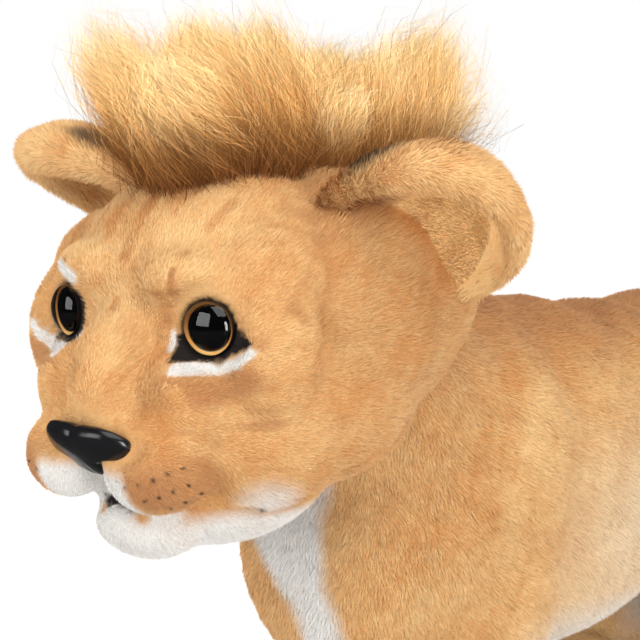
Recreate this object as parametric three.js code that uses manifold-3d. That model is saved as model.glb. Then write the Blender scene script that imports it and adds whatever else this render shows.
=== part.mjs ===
// A standing plush lion with a crest of mane, in millimetres, +Z up.
// The lion faces -Y and its left side is +X. Heights count from the floor, and places along Y
// count from the plane of the eyes until the finished group is centred on its own box.

import * as THREE from 'three';
import { mergeVertices } from 'three/addons/utils/BufferGeometryUtils.js';
import Module from 'manifold-3d';

const wasm = await Module();
wasm.setup();

// Driving sizes of the sewn body

const cover = { thickness: 5 };
const fit = { gap: 0.3, fill: 0.8, overrun: 4, fadeShare: 3, leastShare: 0.25 };

const head = {
  length: 265, width: 210, depth: 231, front: -50, middleHeight: 374.5,
};
const torso = {
  length: 552, width: 196, depth: 244, front: 150, middleHeight: 250,
};
const rumpY = torso.front + torso.length;
const haunch = { out: 41, y: rumpY - 104, height: 244, halfWidth: 53, halfLength: 82, halfDepth: 88 };
const belly = { out: 36, y: rumpY - 296, height: 192, halfWidth: 54, halfLength: 158, halfDepth: 70 };
const neck = { radius: 80, axisY: 215, footHeight: 190, topHeight: 388 };
const frontLeg = { spread: 116, y: 268, height: 205, width: 88, depth: 116 };
const rearLeg = { spread: 122, y: rumpY - 72, height: 232, width: 92, depth: 148 };
const tail = {
  rootY: rumpY - 5, rootHeight: 300, radius: 14, reach: 76, drop: 186, socketClearance: 0.9,
};
const tuft = { length: 84, radius: 23 };
const sole = { thickness: 3, frontWidth: 66, frontDepth: 84, rearWidth: 60, rearDepth: 84 };

// Driving sizes of the pieces on the head

const eye = {
  height: 400, spacing: 106, diameter: 30, dome: 8, lensEdge: 1.6, splayDegrees: 30, recess: 2,
};
const eyeCup = { thickness: 2.4, stemRadius: 3.5, stemLength: 20 };
const washer = { radius: 11, thickness: 1.6 };
const nose = {
  width: 50, height: 36, thickness: 11, bevel: 3, y: -37, middle: 336, tilt: 40, stemRadius: 4,
  stemLength: 20, clearance: 2.4,
};
const ear = {
  halfLength: 58, halfReach: 74, bulge: 29, layer: 5.5, offset: 18, lip: 4, lipReach: 62,
  rise: 38, opening: 4, swing: 12,
};
const earRoot = { x: 94, y: 98, height: 421, frontX: 71, frontY: 58, frontHeight: 452 };
const mane = { width: 146, length: 270, height: 118, sink: 44, middleY: 112, backing: 3 };

// Driving sizes of the wires inside

const wire = { radius: 2.5, clearance: 0.4, spacing: 2 };
const spine = { height: 262, frontY: neck.axisY, rearY: rumpY - 62, neckTop: 372 };
const clip = { width: 16, length: 14, height: 15 };

// Counts that set how fine the faceted forms are

const counts = {
  torsoSides: 20, headSides: 20, legSides: 12, tailSides: 8, ballSides: 14, roundSides: 16,
  wireSides: 6, wireSteps: 18, noseBevelSteps: 2, noseCurveSteps: 5,
};

const X_AXIS = new THREE.Vector3(1, 0, 0);
const Z_AXIS = new THREE.Vector3(0, 0, 1);

// Forms that swell and taper. Each row is a station on the form's middle line:
// [share of length, share of sideways shift, share of rise, share of half width, share of half depth]

const headShares = [
  [0.000, 0, -0.210, 0.00, 0.00],
  [0.010, 0, -0.212, 0.27, 0.17],
  [0.038, 0, -0.220, 0.40, 0.28],
  [0.080, 0, -0.222, 0.45, 0.44],
  [0.130, 0, -0.180, 0.50, 0.62],
  [0.200, 0, -0.096, 0.63, 0.80],
  [0.330, 0, -0.040, 0.88, 0.94],
  [0.500, 0, 0.002, 0.98, 0.98],
  [0.670, 0, 0.039, 1.00, 0.91],
  [0.811, 0, 0.050, 0.96, 0.82],
  [0.932, 0, 0.066, 0.76, 0.62],
  [0.985, 0, 0.075, 0.40, 0.34],
  [1.000, 0, 0.075, 0.00, 0.00],
];
const torsoShares = [
  [0.000, 0, -0.130, 0.00, 0.00],
  [0.010, 0, -0.130, 0.36, 0.36],
  [0.050, 0, -0.080, 0.72, 0.72],
  [0.130, 0, -0.022, 0.93, 0.96],
  [0.250, 0, 0.008, 1.00, 1.03],
  [0.420, 0, -0.012, 0.97, 1.00],
  [0.600, 0, -0.035, 0.92, 0.93],
  [0.760, 0, -0.012, 0.93, 0.87],
  [0.890, 0, 0.030, 0.87, 0.75],
  [0.965, 0, 0.038, 0.60, 0.52],
  [0.995, 0, 0.040, 0.26, 0.23],
  [1.000, 0, 0.040, 0.00, 0.00],
];
const neckShares = [
  [0.00, 0.00], [0.725, 0.00], [0.98, 0.30], [1.00, 0.48], [0.97, 0.72],
  [0.84, 0.86], [0.60, 0.95], [0.30, 0.99], [0.00, 1.00],
];

// A leg's rows: [share of height, share of depth behind the leg's own line, half width, half depth]

const frontLegShares = [
  [1.00, -0.05, 0.00, 0.00],
  [0.97, -0.05, 0.50, 0.45],
  [0.85, -0.04, 0.98, 0.94],
  [0.66, -0.02, 1.00, 0.92],
  [0.47, 0.02, 0.86, 0.72],
  [0.30, 0.03, 0.80, 0.64],
  [0.17, -0.03, 0.88, 0.76],
  [0.08, -0.10, 1.00, 0.94],
  [0.00, -0.12, 0.84, 0.80],
];
const rearLegShares = [
  [1.00, 0.00, 0.00, 0.00],
  [0.97, 0.00, 0.50, 0.45],
  [0.84, 0.00, 0.98, 0.96],
  [0.65, -0.03, 1.00, 0.96],
  [0.48, 0.03, 0.88, 0.72],
  [0.36, 0.17, 0.76, 0.54],
  [0.26, 0.26, 0.70, 0.46],
  [0.17, 0.22, 0.76, 0.50],
  [0.08, 0.12, 0.90, 0.70],
  [0.00, 0.09, 0.76, 0.62],
];

// The tail's rows: [share of reach, share of drop, share of radius], and the tuft's: [length, radius]

const tailShares = [
  [-0.16, 0.00, 0.00],
  [-0.13, 0.00, 0.80],
  [-0.04, 0.00, 1.00],
  [0.24, 0.00, 1.00],
  [0.54, 0.07, 0.98],
  [0.76, 0.26, 0.94],
  [0.86, 0.54, 0.88],
  [0.91, 0.80, 0.80],
  [0.95, 1.00, 0.74],
];
const tuftShares = [
  [-0.06, 0.00], [0.00, 0.55], [0.22, 0.86], [0.50, 1.00], [0.74, 0.80], [0.92, 0.40], [1.00, 0.00],
];

// The mane's rows from its root up: [share of height, share of half width, share of half length, lean]

const maneShares = [
  [-0.30, 0.60, 0.52, 0.00],
  [0.00, 0.74, 0.70, 0.00],
  [0.28, 0.90, 0.84, 0.03],
  [0.58, 1.00, 1.00, 0.09],
  [0.82, 0.98, 0.96, 0.09],
  [0.95, 0.78, 0.78, 0.08],
  [1.00, 0.40, 0.44, 0.08],
];

// Colours and finishes

const finish = (color, roughness, metalness = 0) =>
  new THREE.MeshStandardMaterial({ color, roughness, metalness });

const finishes = {
  plush: () => finish(0xd9a566, 0.95),
  mane: () => finish(0xc99550, 0.9),
  lining: () => finish(0xb9895a, 0.95),
  fibre: () => finish(0xf3f1ec, 1),
  clear: () => finish(0xe8eef0, 0.05),
  cup: () => finish(0x1a1410, 0.3),
  black: () => finish(0x101010, 0.25),
  white: () => finish(0xe8e8e4, 0.5),
  steel: () => finish(0x9a9da0, 0.35, 1),
};

// Solids: closed geometries joined and cut

function solid(geometry) {
  const bare = geometry.index ? geometry.toNonIndexed() : geometry.clone();
  bare.deleteAttribute('normal');
  bare.deleteAttribute('uv');
  const merged = mergeVertices(bare, 1e-4);
  return new wasm.Manifold(new wasm.Mesh({
    numProp: 3,
    vertProperties: new Float32Array(merged.attributes.position.array),
    triVerts: new Uint32Array(merged.index.array),
  }));
}

function geometryOf(manifold) {
  const { vertProperties, triVerts, numProp } = manifold.getMesh();
  const geometry = new THREE.BufferGeometry();
  const points = new Float32Array((vertProperties.length / numProp) * 3);
  for (let i = 0; i < points.length / 3; i += 1) {
    for (let k = 0; k < 3; k += 1) {
      points[i * 3 + k] = vertProperties[i * numProp + k];
    }
  }
  geometry.setAttribute('position', new THREE.BufferAttribute(points, 3));
  geometry.setIndex(new THREE.BufferAttribute(new Uint32Array(triVerts), 1));
  geometry.computeVertexNormals();
  return geometry;
}

const lion = new THREE.Group();

function addPiece(name, shape, material) {
  const geometry = shape instanceof THREE.BufferGeometry ? shape : geometryOf(shape);
  const mesh = new THREE.Mesh(geometry, material);
  mesh.name = name;
  lion.add(mesh);
  return mesh;
}

// A closed body through rings of points. Its first and last stations are single points when their
// size is zero, and otherwise flat ends. Each station holds a middle and two half sizes, and may
// hold the direction that its ring faces.

function swell(stations, sides) {
  const rings = stations.map((station, i) => {
    const before = stations[Math.max(i - 1, 0)].middle;
    const after = stations[Math.min(i + 1, stations.length - 1)].middle;
    const along = station.along ?? after.clone().sub(before).normalize();
    const up = new THREE.Vector3().crossVectors(X_AXIS, along).normalize();
    const points = [];
    for (let k = 0; k < sides; k += 1) {
      const angle = (2 * Math.PI * k) / sides;
      points.push(station.middle.clone()
        .addScaledVector(X_AXIS, station.wide * Math.cos(angle))
        .addScaledVector(up, station.deep * Math.sin(angle)));
    }
    return points;
  });
  const first = stations[0].middle;
  const last = stations[stations.length - 1].middle;
  const corners = [];
  const skipFirst = stations[0].wide === 0 ? 1 : 0;
  const skipLast = stations[stations.length - 1].wide === 0 ? 1 : 0;
  const body = rings.slice(skipFirst, rings.length - skipLast);
  for (let k = 0; k < sides; k += 1) {
    const next = (k + 1) % sides;
    corners.push(first, body[0][next], body[0][k]);
    corners.push(last, body[body.length - 1][k], body[body.length - 1][next]);
    for (let i = 0; i < body.length - 1; i += 1) {
      corners.push(body[i][k], body[i][next], body[i + 1][next]);
      corners.push(body[i][k], body[i + 1][next], body[i + 1][k]);
    }
  }
  const geometry = new THREE.BufferGeometry().setFromPoints(corners);
  const form = solid(geometry);
  return form.volume() > 0 ? form : solid(flipped(corners));
}

function flipped(corners) {
  const turned = [];
  for (let i = 0; i < corners.length; i += 3) {
    turned.push(corners[i], corners[i + 2], corners[i + 1]);
  }
  return new THREE.BufferGeometry().setFromPoints(turned);
}

// An inset moves a form's ends inwards by its full amount, and fades out along the form.

function insetAlong(distance, inset, length) {
  const reach = fit.fadeShare * cover.thickness;
  const low = 1 - THREE.MathUtils.smoothstep(distance, 0, reach);
  const high = 1 - THREE.MathUtils.smoothstep(length - distance, 0, reach);
  return distance + inset * (low - high);
}

function insetHalf(size, inset) {
  return size === 0 ? 0 : Math.max(size - inset, fit.leastShare * cover.thickness);
}

function lengthwiseForm(shares, size, sides, inset = 0) {
  const stations = shares.map(([along, shift, rise, wide, deep]) => ({
    middle: new THREE.Vector3(
      shift * size.width,
      size.front + insetAlong(along * size.length, inset, size.length),
      size.middleHeight + rise * size.depth,
    ),
    along: new THREE.Vector3(0, 1, 0),
    wide: insetHalf((wide * size.width) / 2, inset),
    deep: insetHalf((deep * size.depth) / 2, inset),
  }));
  return swell(stations, sides);
}

function legForm(shares, size, side, inset = 0) {
  const bottom = sole.thickness + fit.gap;
  const length = size.height - bottom;
  const stations = shares.map(([up, back, wide, deep]) => ({
    middle: new THREE.Vector3(
      (side * size.spread) / 2,
      size.y + back * size.depth,
      bottom + insetAlong(up * length, inset, length),
    ),
    along: Z_AXIS,
    wide: insetHalf((wide * size.width) / 2, inset),
    deep: insetHalf((deep * size.depth) / 2, inset),
  }));
  return swell(stations, counts.legSides);
}

function neckForm(inset = 0) {
  const height = neck.topHeight - neck.footHeight - inset;
  const profile = neckShares.map(([out, up]) => new THREE.Vector2(
    insetHalf(out * neck.radius, inset),
    up * height,
  ));
  const form = new THREE.LatheGeometry(profile, counts.torsoSides);
  form.rotateX(Math.PI / 2);
  form.translate(0, neck.axisY, neck.footHeight);
  return solid(form);
}

function ellipsoid(wide, deep, high) {
  const ball = new THREE.SphereGeometry(1, counts.ballSides, counts.ballSides / 2);
  ball.scale(wide, deep, high);
  return solid(ball);
}

function swelling({ out, y, height, halfWidth, halfLength, halfDepth }, inset) {
  const form = ellipsoid(halfWidth - inset, halfLength - inset, halfDepth - inset);
  return form.translate([-out, y, height]).add(form.translate([out, y, height]));
}

function barrelForm(inset = 0) {
  return lengthwiseForm(torsoShares, torso, counts.torsoSides, inset)
    .add(swelling(haunch, inset))
    .add(swelling(belly, inset));
}

const bodyForm = (inset = 0) => barrelForm(inset).add(neckForm(inset));

// Tubes along a curve, for the wires and the channels they lie in

function tubeAlong(points, radius, steps) {
  const section = new THREE.Shape();
  for (let k = 0; k < counts.wireSides; k += 1) {
    const angle = (2 * Math.PI * k) / counts.wireSides;
    const x = radius * Math.cos(angle);
    const y = radius * Math.sin(angle);
    if (k === 0) {
      section.moveTo(x, y);
    } else {
      section.lineTo(x, y);
    }
  }
  section.closePath();
  const path = new THREE.CatmullRomCurve3(points, false, 'centripetal');
  const tube = new THREE.ExtrudeGeometry(section, { steps, extrudePath: path, bevelEnabled: false });
  const made = solid(tube);
  return made.volume() > 0 ? made : solid(flippedGeometry(tube));
}

function flippedGeometry(geometry) {
  const bare = geometry.index ? geometry.toNonIndexed() : geometry;
  const place = bare.attributes.position;
  const corners = [];
  for (let i = 0; i < place.count; i += 1) {
    corners.push(new THREE.Vector3().fromBufferAttribute(place, i));
  }
  return flipped(corners);
}

function boxAt(width, length, height, middle) {
  const box = new THREE.BoxGeometry(width, length, height);
  box.translate(middle.x, middle.y, middle.z);
  return solid(box);
}

// The wires: each leg wire runs up one leg, over the spine wire and down the other leg. It leaves the
// leg's own line at `leave`, and the other shares are of the leg's spread and the shoulder's height.

const wireShares = { leave: 0.7, bendOut: 0.82, bendUp: 0.9, topOut: 0.3 };

function legWirePoints(shares, size, shoulderHeight) {
  const half = size.spread / 2;
  const foot = sole.thickness + fit.gap + cover.thickness + fit.overrun;
  const rows = shares.filter(([up, , wide]) => wide > 0 && up < wireShares.leave).reverse();
  const down = rows.map(([up, back]) => new THREE.Vector3(
    half,
    size.y + back * size.depth,
    foot + up * (size.height - foot),
  ));
  const bend = new THREE.Vector3(half * wireShares.bendOut, size.y, shoulderHeight * wireShares.bendUp);
  const top = new THREE.Vector3(half * wireShares.topOut, size.y, shoulderHeight);
  const middle = new THREE.Vector3(0, size.y, shoulderHeight);
  const left = [...down, bend, top];
  const right = left.map((p) => new THREE.Vector3(-p.x, p.y, p.z)).reverse();
  return [...left, middle, ...right];
}

const wireTopHeight = spine.height - 2 * wire.radius - wire.spacing;
const frontWirePoints = legWirePoints(frontLegShares, frontLeg, wireTopHeight);
const rearWirePoints = legWirePoints(rearLegShares, rearLeg, wireTopHeight);
const spinePoints = [
  new THREE.Vector3(0, spine.rearY, spine.height),
  new THREE.Vector3(0, (spine.rearY * 2 + spine.frontY) / 3, spine.height),
  new THREE.Vector3(0, (spine.rearY + spine.frontY * 2) / 3, spine.height),
  new THREE.Vector3(0, spine.frontY + 2 * clip.length, spine.height + wire.radius),
  new THREE.Vector3(0, spine.frontY, spine.height + 2 * clip.length),
  new THREE.Vector3(0, spine.frontY, (spine.height + spine.neckTop) / 2 + clip.length),
  new THREE.Vector3(0, spine.frontY, spine.neckTop),
];

const wireSet = (radius) => [
  tubeAlong(frontWirePoints, radius, counts.wireSteps),
  tubeAlong(rearWirePoints, radius, counts.wireSteps),
  tubeAlong(spinePoints, radius, counts.wireSteps),
];
const [frontLegWire, rearLegWire, spineWire] = wireSet(wire.radius);
const wireChannels = wireSet(wire.radius + wire.clearance)
  .reduce((all, channel) => all.add(channel));
const wires = frontLegWire.add(rearLegWire).add(spineWire);

// Each clip wraps the place where the spine wire lies on a leg wire.

function wireClip(y) {
  const middle = new THREE.Vector3(0, y, spine.height - wire.radius - wire.spacing / 2);
  return { block: [clip.width, clip.length, clip.height], middle };
}

const clips = { front: wireClip(frontLeg.y), rear: wireClip(rearLeg.y) };
const clipSolid = ({ block: [w, l, h], middle }, extra = 0) =>
  boxAt(w + 2 * extra, l + 2 * extra, h + 2 * extra, middle);

// The legs, cut by the body that they are sewn to

const bodyCut = bodyForm(-fit.gap);
const legSides = [['left', 1], ['right', -1]];
const legSets = [['front', frontLegShares, frontLeg], ['rear', rearLegShares, rearLeg]];

for (const [end, shares, size] of legSets) {
  for (const [side, sign] of legSides) {
    const outer = legForm(shares, size, sign);
    const hollow = legForm(shares, size, sign, cover.thickness);
    const core = legForm(shares, size, sign, cover.thickness + fit.fill);
    const name = `${end}_${side}_leg`;
    addPiece(`${name}_skin`, outer.subtract(hollow).subtract(bodyCut), finishes.plush());
    addPiece(`${name}_stuffing`, core.subtract(bodyCut).subtract(wireChannels), finishes.fibre());
    addPiece(`${end}_${side}_sole`, solePad(size, sign, end), finishes.plush());
  }
}

function solePad(size, sign, end) {
  const width = end === 'front' ? sole.frontWidth : sole.rearWidth;
  const depth = end === 'front' ? sole.frontDepth : sole.rearDepth;
  const shares = end === 'front' ? frontLegShares : rearLegShares;
  const back = shares[shares.length - 1][1] * size.depth;
  const outline = new THREE.Shape();
  outline.absellipse(0, 0, width / 2, depth / 2, 0, 2 * Math.PI);
  const pad = new THREE.ExtrudeGeometry(outline, {
    depth: sole.thickness, bevelEnabled: false, curveSegments: counts.roundSides,
  });
  pad.translate((sign * size.spread) / 2, size.y + back, 0);
  return pad;
}

addPiece('front_leg_wire', frontLegWire, finishes.steel());
addPiece('rear_leg_wire', rearLegWire, finishes.steel());
addPiece('spine_wire', spineWire, finishes.steel());
for (const [end, block] of Object.entries(clips)) {
  addPiece(`${end}_wire_clip`, clipSolid(block).subtract(wireChannels), finishes.white());
}

// The head: a stuffed ball on the neck. It turns about the neck's own axis, so its socket is round.

const degrees = THREE.MathUtils.degToRad;

function turnedAbout(form, point, axis, angle) {
  const move = new THREE.Matrix4().makeTranslation(point.x, point.y, point.z);
  move.multiply(new THREE.Matrix4().makeRotationAxis(axis, angle));
  move.multiply(new THREE.Matrix4().makeTranslation(-point.x, -point.y, -point.z));
  return form.transform(move.elements);
}

function sweptAbout(form, point, axis, range) {
  const steps = [-1, -0.5, 0, 0.5, 1];
  return steps
    .map((step) => turnedAbout(form, point, axis, degrees(step * range)))
    .reduce((all, one) => all.add(one));
}

const cornerToFlat = 1 / Math.cos(Math.PI / counts.torsoSides);

function neckSocket() {
  const grown = neckForm(-fit.gap);
  const move = new THREE.Matrix4().makeTranslation(0, neck.axisY, 0);
  move.multiply(new THREE.Matrix4().makeScale(cornerToFlat, cornerToFlat, 1));
  move.multiply(new THREE.Matrix4().makeTranslation(0, -neck.axisY, 0));
  return grown.transform(move.elements);
}

const headSeat = neckSocket().add(barrelForm(-fit.gap));
const headForm = (inset = 0) => lengthwiseForm(headShares, head, counts.headSides, inset);

// A piece on the head is made along its own axis, +Y outwards, and then turned to face `outward`.

function faced(geometry, place, outward) {
  const turn = new THREE.Quaternion().setFromUnitVectors(new THREE.Vector3(0, 1, 0), outward);
  geometry.applyQuaternion(turn);
  geometry.translate(place.x, place.y, place.z);
  return geometry;
}

function disc(radius, low, high, place, outward) {
  const made = new THREE.CylinderGeometry(radius, radius, high - low, counts.roundSides);
  made.translate(0, (low + high) / 2, 0);
  return solid(faced(made, place, outward));
}

// Levels behind an eye's lens, counted outwards from the lens's flat back

const cupBack = -fit.gap - eyeCup.thickness;
const seatTop = cupBack - fit.gap;
const seatBottom = seatTop - cover.thickness;
const washerTop = seatBottom - fit.gap;
const washerBottom = washerTop - washer.thickness;

function eyeSet(side) {
  const radius = eye.diameter / 2;
  const place = new THREE.Vector3((side * eye.spacing) / 2, eye.recess, eye.height);
  const splay = degrees(eye.splayDegrees);
  const outward = new THREE.Vector3(side * Math.sin(splay), -Math.cos(splay), 0);
  const at = (r, low, high) => disc(r, low, high, place, outward);
  const dome = [new THREE.Vector2(0, 0), new THREE.Vector2(radius, 0)];
  const rings = Math.round(counts.roundSides / 4);
  for (let i = 0; i <= rings; i += 1) {
    const angle = (Math.PI / 2) * (i / rings);
    dome.push(new THREE.Vector2(
      i === rings ? 0 : radius * Math.cos(angle),
      eye.lensEdge + eye.dome * Math.sin(angle),
    ));
  }
  const lens = solid(faced(new THREE.LatheGeometry(dome, counts.roundSides), place, outward));
  const stem = at(eyeCup.stemRadius, cupBack - eyeCup.stemLength, cupBack + eyeCup.thickness / 2);
  const hole = eyeCup.stemRadius + fit.gap;
  const wall = cover.thickness / 2;
  return {
    lens,
    cup: at(radius, cupBack, -fit.gap).add(stem),
    washer: at(washer.radius, washerBottom, washerTop)
      .subtract(at(hole, washerBottom - fit.overrun, washerTop + fit.overrun)),
    seat: at(radius + fit.gap + wall, seatBottom, 0),
    recess: at(radius + fit.gap, seatTop, seatTop + eye.diameter)
      .add(at(washer.radius + 2 * fit.gap, washerBottom - fit.overrun, seatBottom))
      .add(at(hole, cupBack - eyeCup.stemLength - fit.gap, 0)),
    pocket: at(radius + 2 * fit.gap + wall, seatBottom - fit.gap, eye.diameter)
      .add(at(washer.radius + fit.gap, washerBottom - fit.gap, seatBottom))
      .add(at(hole, cupBack - eyeCup.stemLength - fit.gap, seatBottom)),
  };
}

// The nose: a rounded triangle facing forwards and a little down, on a stem

const noseShares = {
  tip: [0.45, 1], side: [0.75, 0.1], wing: [1.1, 0.8], corner: [0.7, 1], dip: [0, 0.84],
};

function noseOutline(grow) {
  const half = nose.width / 2 + grow;
  const high = nose.height / 2 + grow;
  const at = ([out, up], side, way = 1) => [side * out * half, way * up * high];
  const { tip, side, wing, corner, dip } = noseShares;
  const outline = new THREE.Shape();
  outline.moveTo(0, -high);
  outline.quadraticCurveTo(...at(tip, 1, -1), ...at(side, 1));
  outline.quadraticCurveTo(...at(wing, 1), ...at(corner, 1));
  outline.quadraticCurveTo(...at(dip, 1), ...at(corner, -1));
  outline.quadraticCurveTo(...at(wing, -1), ...at(side, -1));
  outline.quadraticCurveTo(...at(tip, -1, -1), 0, -high);
  return outline;
}

function noseBlock(grow, low, high, bevel) {
  const block = new THREE.ExtrudeGeometry(noseOutline(grow - bevel), {
    depth: high - low - 2 * bevel,
    bevelEnabled: bevel > 0,
    bevelThickness: bevel,
    bevelSize: bevel,
    bevelSegments: counts.noseBevelSteps,
    curveSegments: counts.noseCurveSteps,
  });
  block.translate(0, 0, low + bevel);
  block.rotateX(Math.PI / 2 + degrees(nose.tilt));
  block.translate(0, nose.y, nose.middle);
  return solid(block);
}

function noseSet() {
  const tilt = degrees(nose.tilt);
  const outward = new THREE.Vector3(0, -Math.cos(tilt), -Math.sin(tilt));
  const place = new THREE.Vector3(0, nose.y, nose.middle);
  const at = (r, low, high) => disc(r, low, high, place, outward);
  const back = -fit.gap - cover.thickness;
  const hole = nose.stemRadius + fit.gap;
  const wall = cover.thickness / 2;
  const ringTop = back - fit.gap;
  const ringBottom = ringTop - washer.thickness;
  return {
    body: noseBlock(0, 0, nose.thickness, nose.bevel)
      .add(at(nose.stemRadius, -nose.stemLength, nose.bevel)),
    washer: at(washer.radius, ringBottom, ringTop)
      .subtract(at(hole, ringBottom - fit.overrun, ringTop + fit.overrun)),
    seat: noseBlock(nose.clearance + wall, back, 0, 0)
      .add(at(washer.radius + fit.gap, back, 0)),
    recess: noseBlock(nose.clearance, -fit.gap, nose.width, 0)
      .add(at(washer.radius + 2 * fit.gap, ringBottom - fit.overrun, back))
      .add(at(hole, -nose.stemLength - fit.gap, fit.gap)),
    pocket: noseBlock(nose.clearance + wall + fit.gap, back - fit.gap, nose.width, 0)
      .add(at(washer.radius + 2 * fit.gap, ringBottom - fit.gap, 0))
      .add(at(hole, -nose.stemLength - fit.gap, 0)),
  };
}

const eyes = { left: eyeSet(1), right: eyeSet(-1) };
const noseParts = noseSet();

let headSkin = headForm().subtract(headForm(cover.thickness));
let headCore = headForm(cover.thickness + fit.fill);
for (const part of [eyes.left, eyes.right, noseParts]) {
  headSkin = headSkin.add(part.seat).subtract(part.recess);
  headCore = headCore.subtract(part.pocket);
}
addPiece('head_skin', headSkin.subtract(headSeat), finishes.plush());
addPiece('head_stuffing', headCore.subtract(headSeat), finishes.fibre());
for (const [side, part] of Object.entries(eyes)) {
  addPiece(`eye_${side}_lens`, part.lens, finishes.clear());
  addPiece(`eye_${side}_cup`, part.cup, finishes.cup());
  addPiece(`eye_${side}_washer`, part.washer, finishes.white());
}
addPiece('nose', noseParts.body, finishes.black());
addPiece('nose_washer', noseParts.washer, finishes.white());

// The ears: two nested cups, cut where they meet the head in any position of their swing

function earSet(side) {
  const middle = new THREE.Vector3(side * earRoot.x, earRoot.y, earRoot.height);
  const front = new THREE.Vector3(side * earRoot.frontX, earRoot.frontY, earRoot.frontHeight);
  const rise = degrees(ear.rise);
  const rootLine = middle.clone().sub(front).normalize();
  const outwards = new THREE.Vector3(side * Math.cos(rise), 0, Math.sin(rise));
  const mouth = new THREE.Vector3().crossVectors(rootLine, outwards).multiplyScalar(side).normalize();
  const reach = new THREE.Vector3().crossVectors(mouth, rootLine).multiplyScalar(side).normalize();
  const turn = new THREE.Matrix4().makeBasis(rootLine, reach.multiplyScalar(side), mouth);
  turn.setPosition(middle);
  const cup = (inset) => ellipsoid(
    ear.halfLength - inset, ear.halfReach - inset, ear.bulge - inset,
  );
  const mouthSide = boxAt(
    4 * ear.halfLength, 4 * ear.halfReach, 4 * ear.bulge,
    new THREE.Vector3(0, 0, 2 * ear.bulge),
  ).rotate([side * ear.opening, 0, 0]).translate([0, side * ear.lipReach, ear.lip]);
  const place = (form) => {
    const shifted = form.translate([0, side * ear.offset, 0]).subtract(mouthSide);
    return shifted.transform(turn.elements)
      .subtract(sweptAbout(headForm(-fit.gap), middle, rootLine, ear.swing));
  };
  return {
    back: place(cup(0).subtract(cup(ear.layer + fit.gap))),
    lining: place(cup(ear.layer + 2 * fit.gap).subtract(cup(2 * ear.layer))),
  };
}

const ears = { left: earSet(1), right: earSet(-1) };
for (const [side, part] of Object.entries(ears)) {
  addPiece(`ear_${side}_back`, part.back, finishes.plush());
  addPiece(`ear_${side}_lining`, part.lining, finishes.lining());
}

// The mane: a sewn patch on the crown, and the outer shape of the long pile on it

function maneForm() {
  const rootHeight = head.middleHeight + head.depth / 2 - mane.sink;
  const stations = maneShares.map(([up, wide, long, lean]) => ({
    middle: new THREE.Vector3(0, mane.middleY + lean * mane.length, rootHeight + up * mane.height),
    along: Z_AXIS,
    wide: (wide * mane.width) / 2,
    deep: (long * mane.length) / 2,
  }));
  return swell(stations, counts.roundSides);
}

const maneOuter = maneForm();
const patchTop = headForm(-fit.gap - mane.backing);
addPiece('mane_backing', maneOuter.intersect(patchTop).subtract(headForm(-fit.gap)), finishes.lining());
addPiece('mane_pile', maneOuter.subtract(headForm(-mane.backing - 2 * fit.gap)), finishes.mane());

// The tail: hung at its root, with a tuft at its end

function tailForm(inset = 0) {
  const stations = tailShares.map(([back, down, size], i) => ({
    middle: new THREE.Vector3(
      0,
      tail.rootY + back * tail.reach + (i === 0 ? inset : 0),
      tail.rootHeight - down * tail.drop,
    ),
    wide: insetHalf(size * tail.radius, inset),
    deep: insetHalf(size * tail.radius, inset),
  }));
  return swell(stations, counts.tailSides);
}

function tuftForm() {
  const last = tailShares[tailShares.length - 1];
  const topY = tail.rootY + last[0] * tail.reach;
  const top = tail.rootHeight - last[1] * tail.drop;
  const stations = tuftShares.map(([down, size]) => ({
    middle: new THREE.Vector3(0, topY + down * tail.radius, top - fit.gap - down * tuft.length),
    along: Z_AXIS,
    wide: size * tuft.radius,
    deep: size * tuft.radius,
  }));
  return swell(stations, counts.tailSides);
}

const tailSocket = new THREE.CylinderGeometry(
  tail.radius + tail.socketClearance, tail.radius + tail.socketClearance,
  2 * tail.radius, counts.roundSides,
);
tailSocket.translate(0, tail.rootY, 0);
tailSocket.translate(0, 0, tail.rootHeight);
const tailSeat = solid(tailSocket);

addPiece('tail_skin', tailForm(), finishes.plush());
addPiece('tail_tuft', tuftForm().subtract(tailForm(-fit.gap)), finishes.mane());

// The body, with its wires and clips inside

const clipHollow = clipSolid(clips.front, fit.gap).add(clipSolid(clips.rear, fit.gap));
const bodySkin = bodyForm().subtract(bodyForm(cover.thickness));
const bodyCore = bodyForm(cover.thickness + fit.fill);
addPiece('torso_skin', bodySkin.subtract(wireChannels).subtract(tailSeat), finishes.plush());
addPiece(
  'torso_stuffing',
  bodyCore.subtract(wireChannels).subtract(clipHollow).subtract(tailSeat),
  finishes.fibre(),
);

// The group is centred on its own box along Y. Its lowest points, the soles, are already at zero.

const whole = new THREE.Box3().setFromObject(lion);
lion.position.y = -(whole.min.y + whole.max.y) / 2;
lion.updateMatrixWorld(true);

export default lion;
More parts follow.
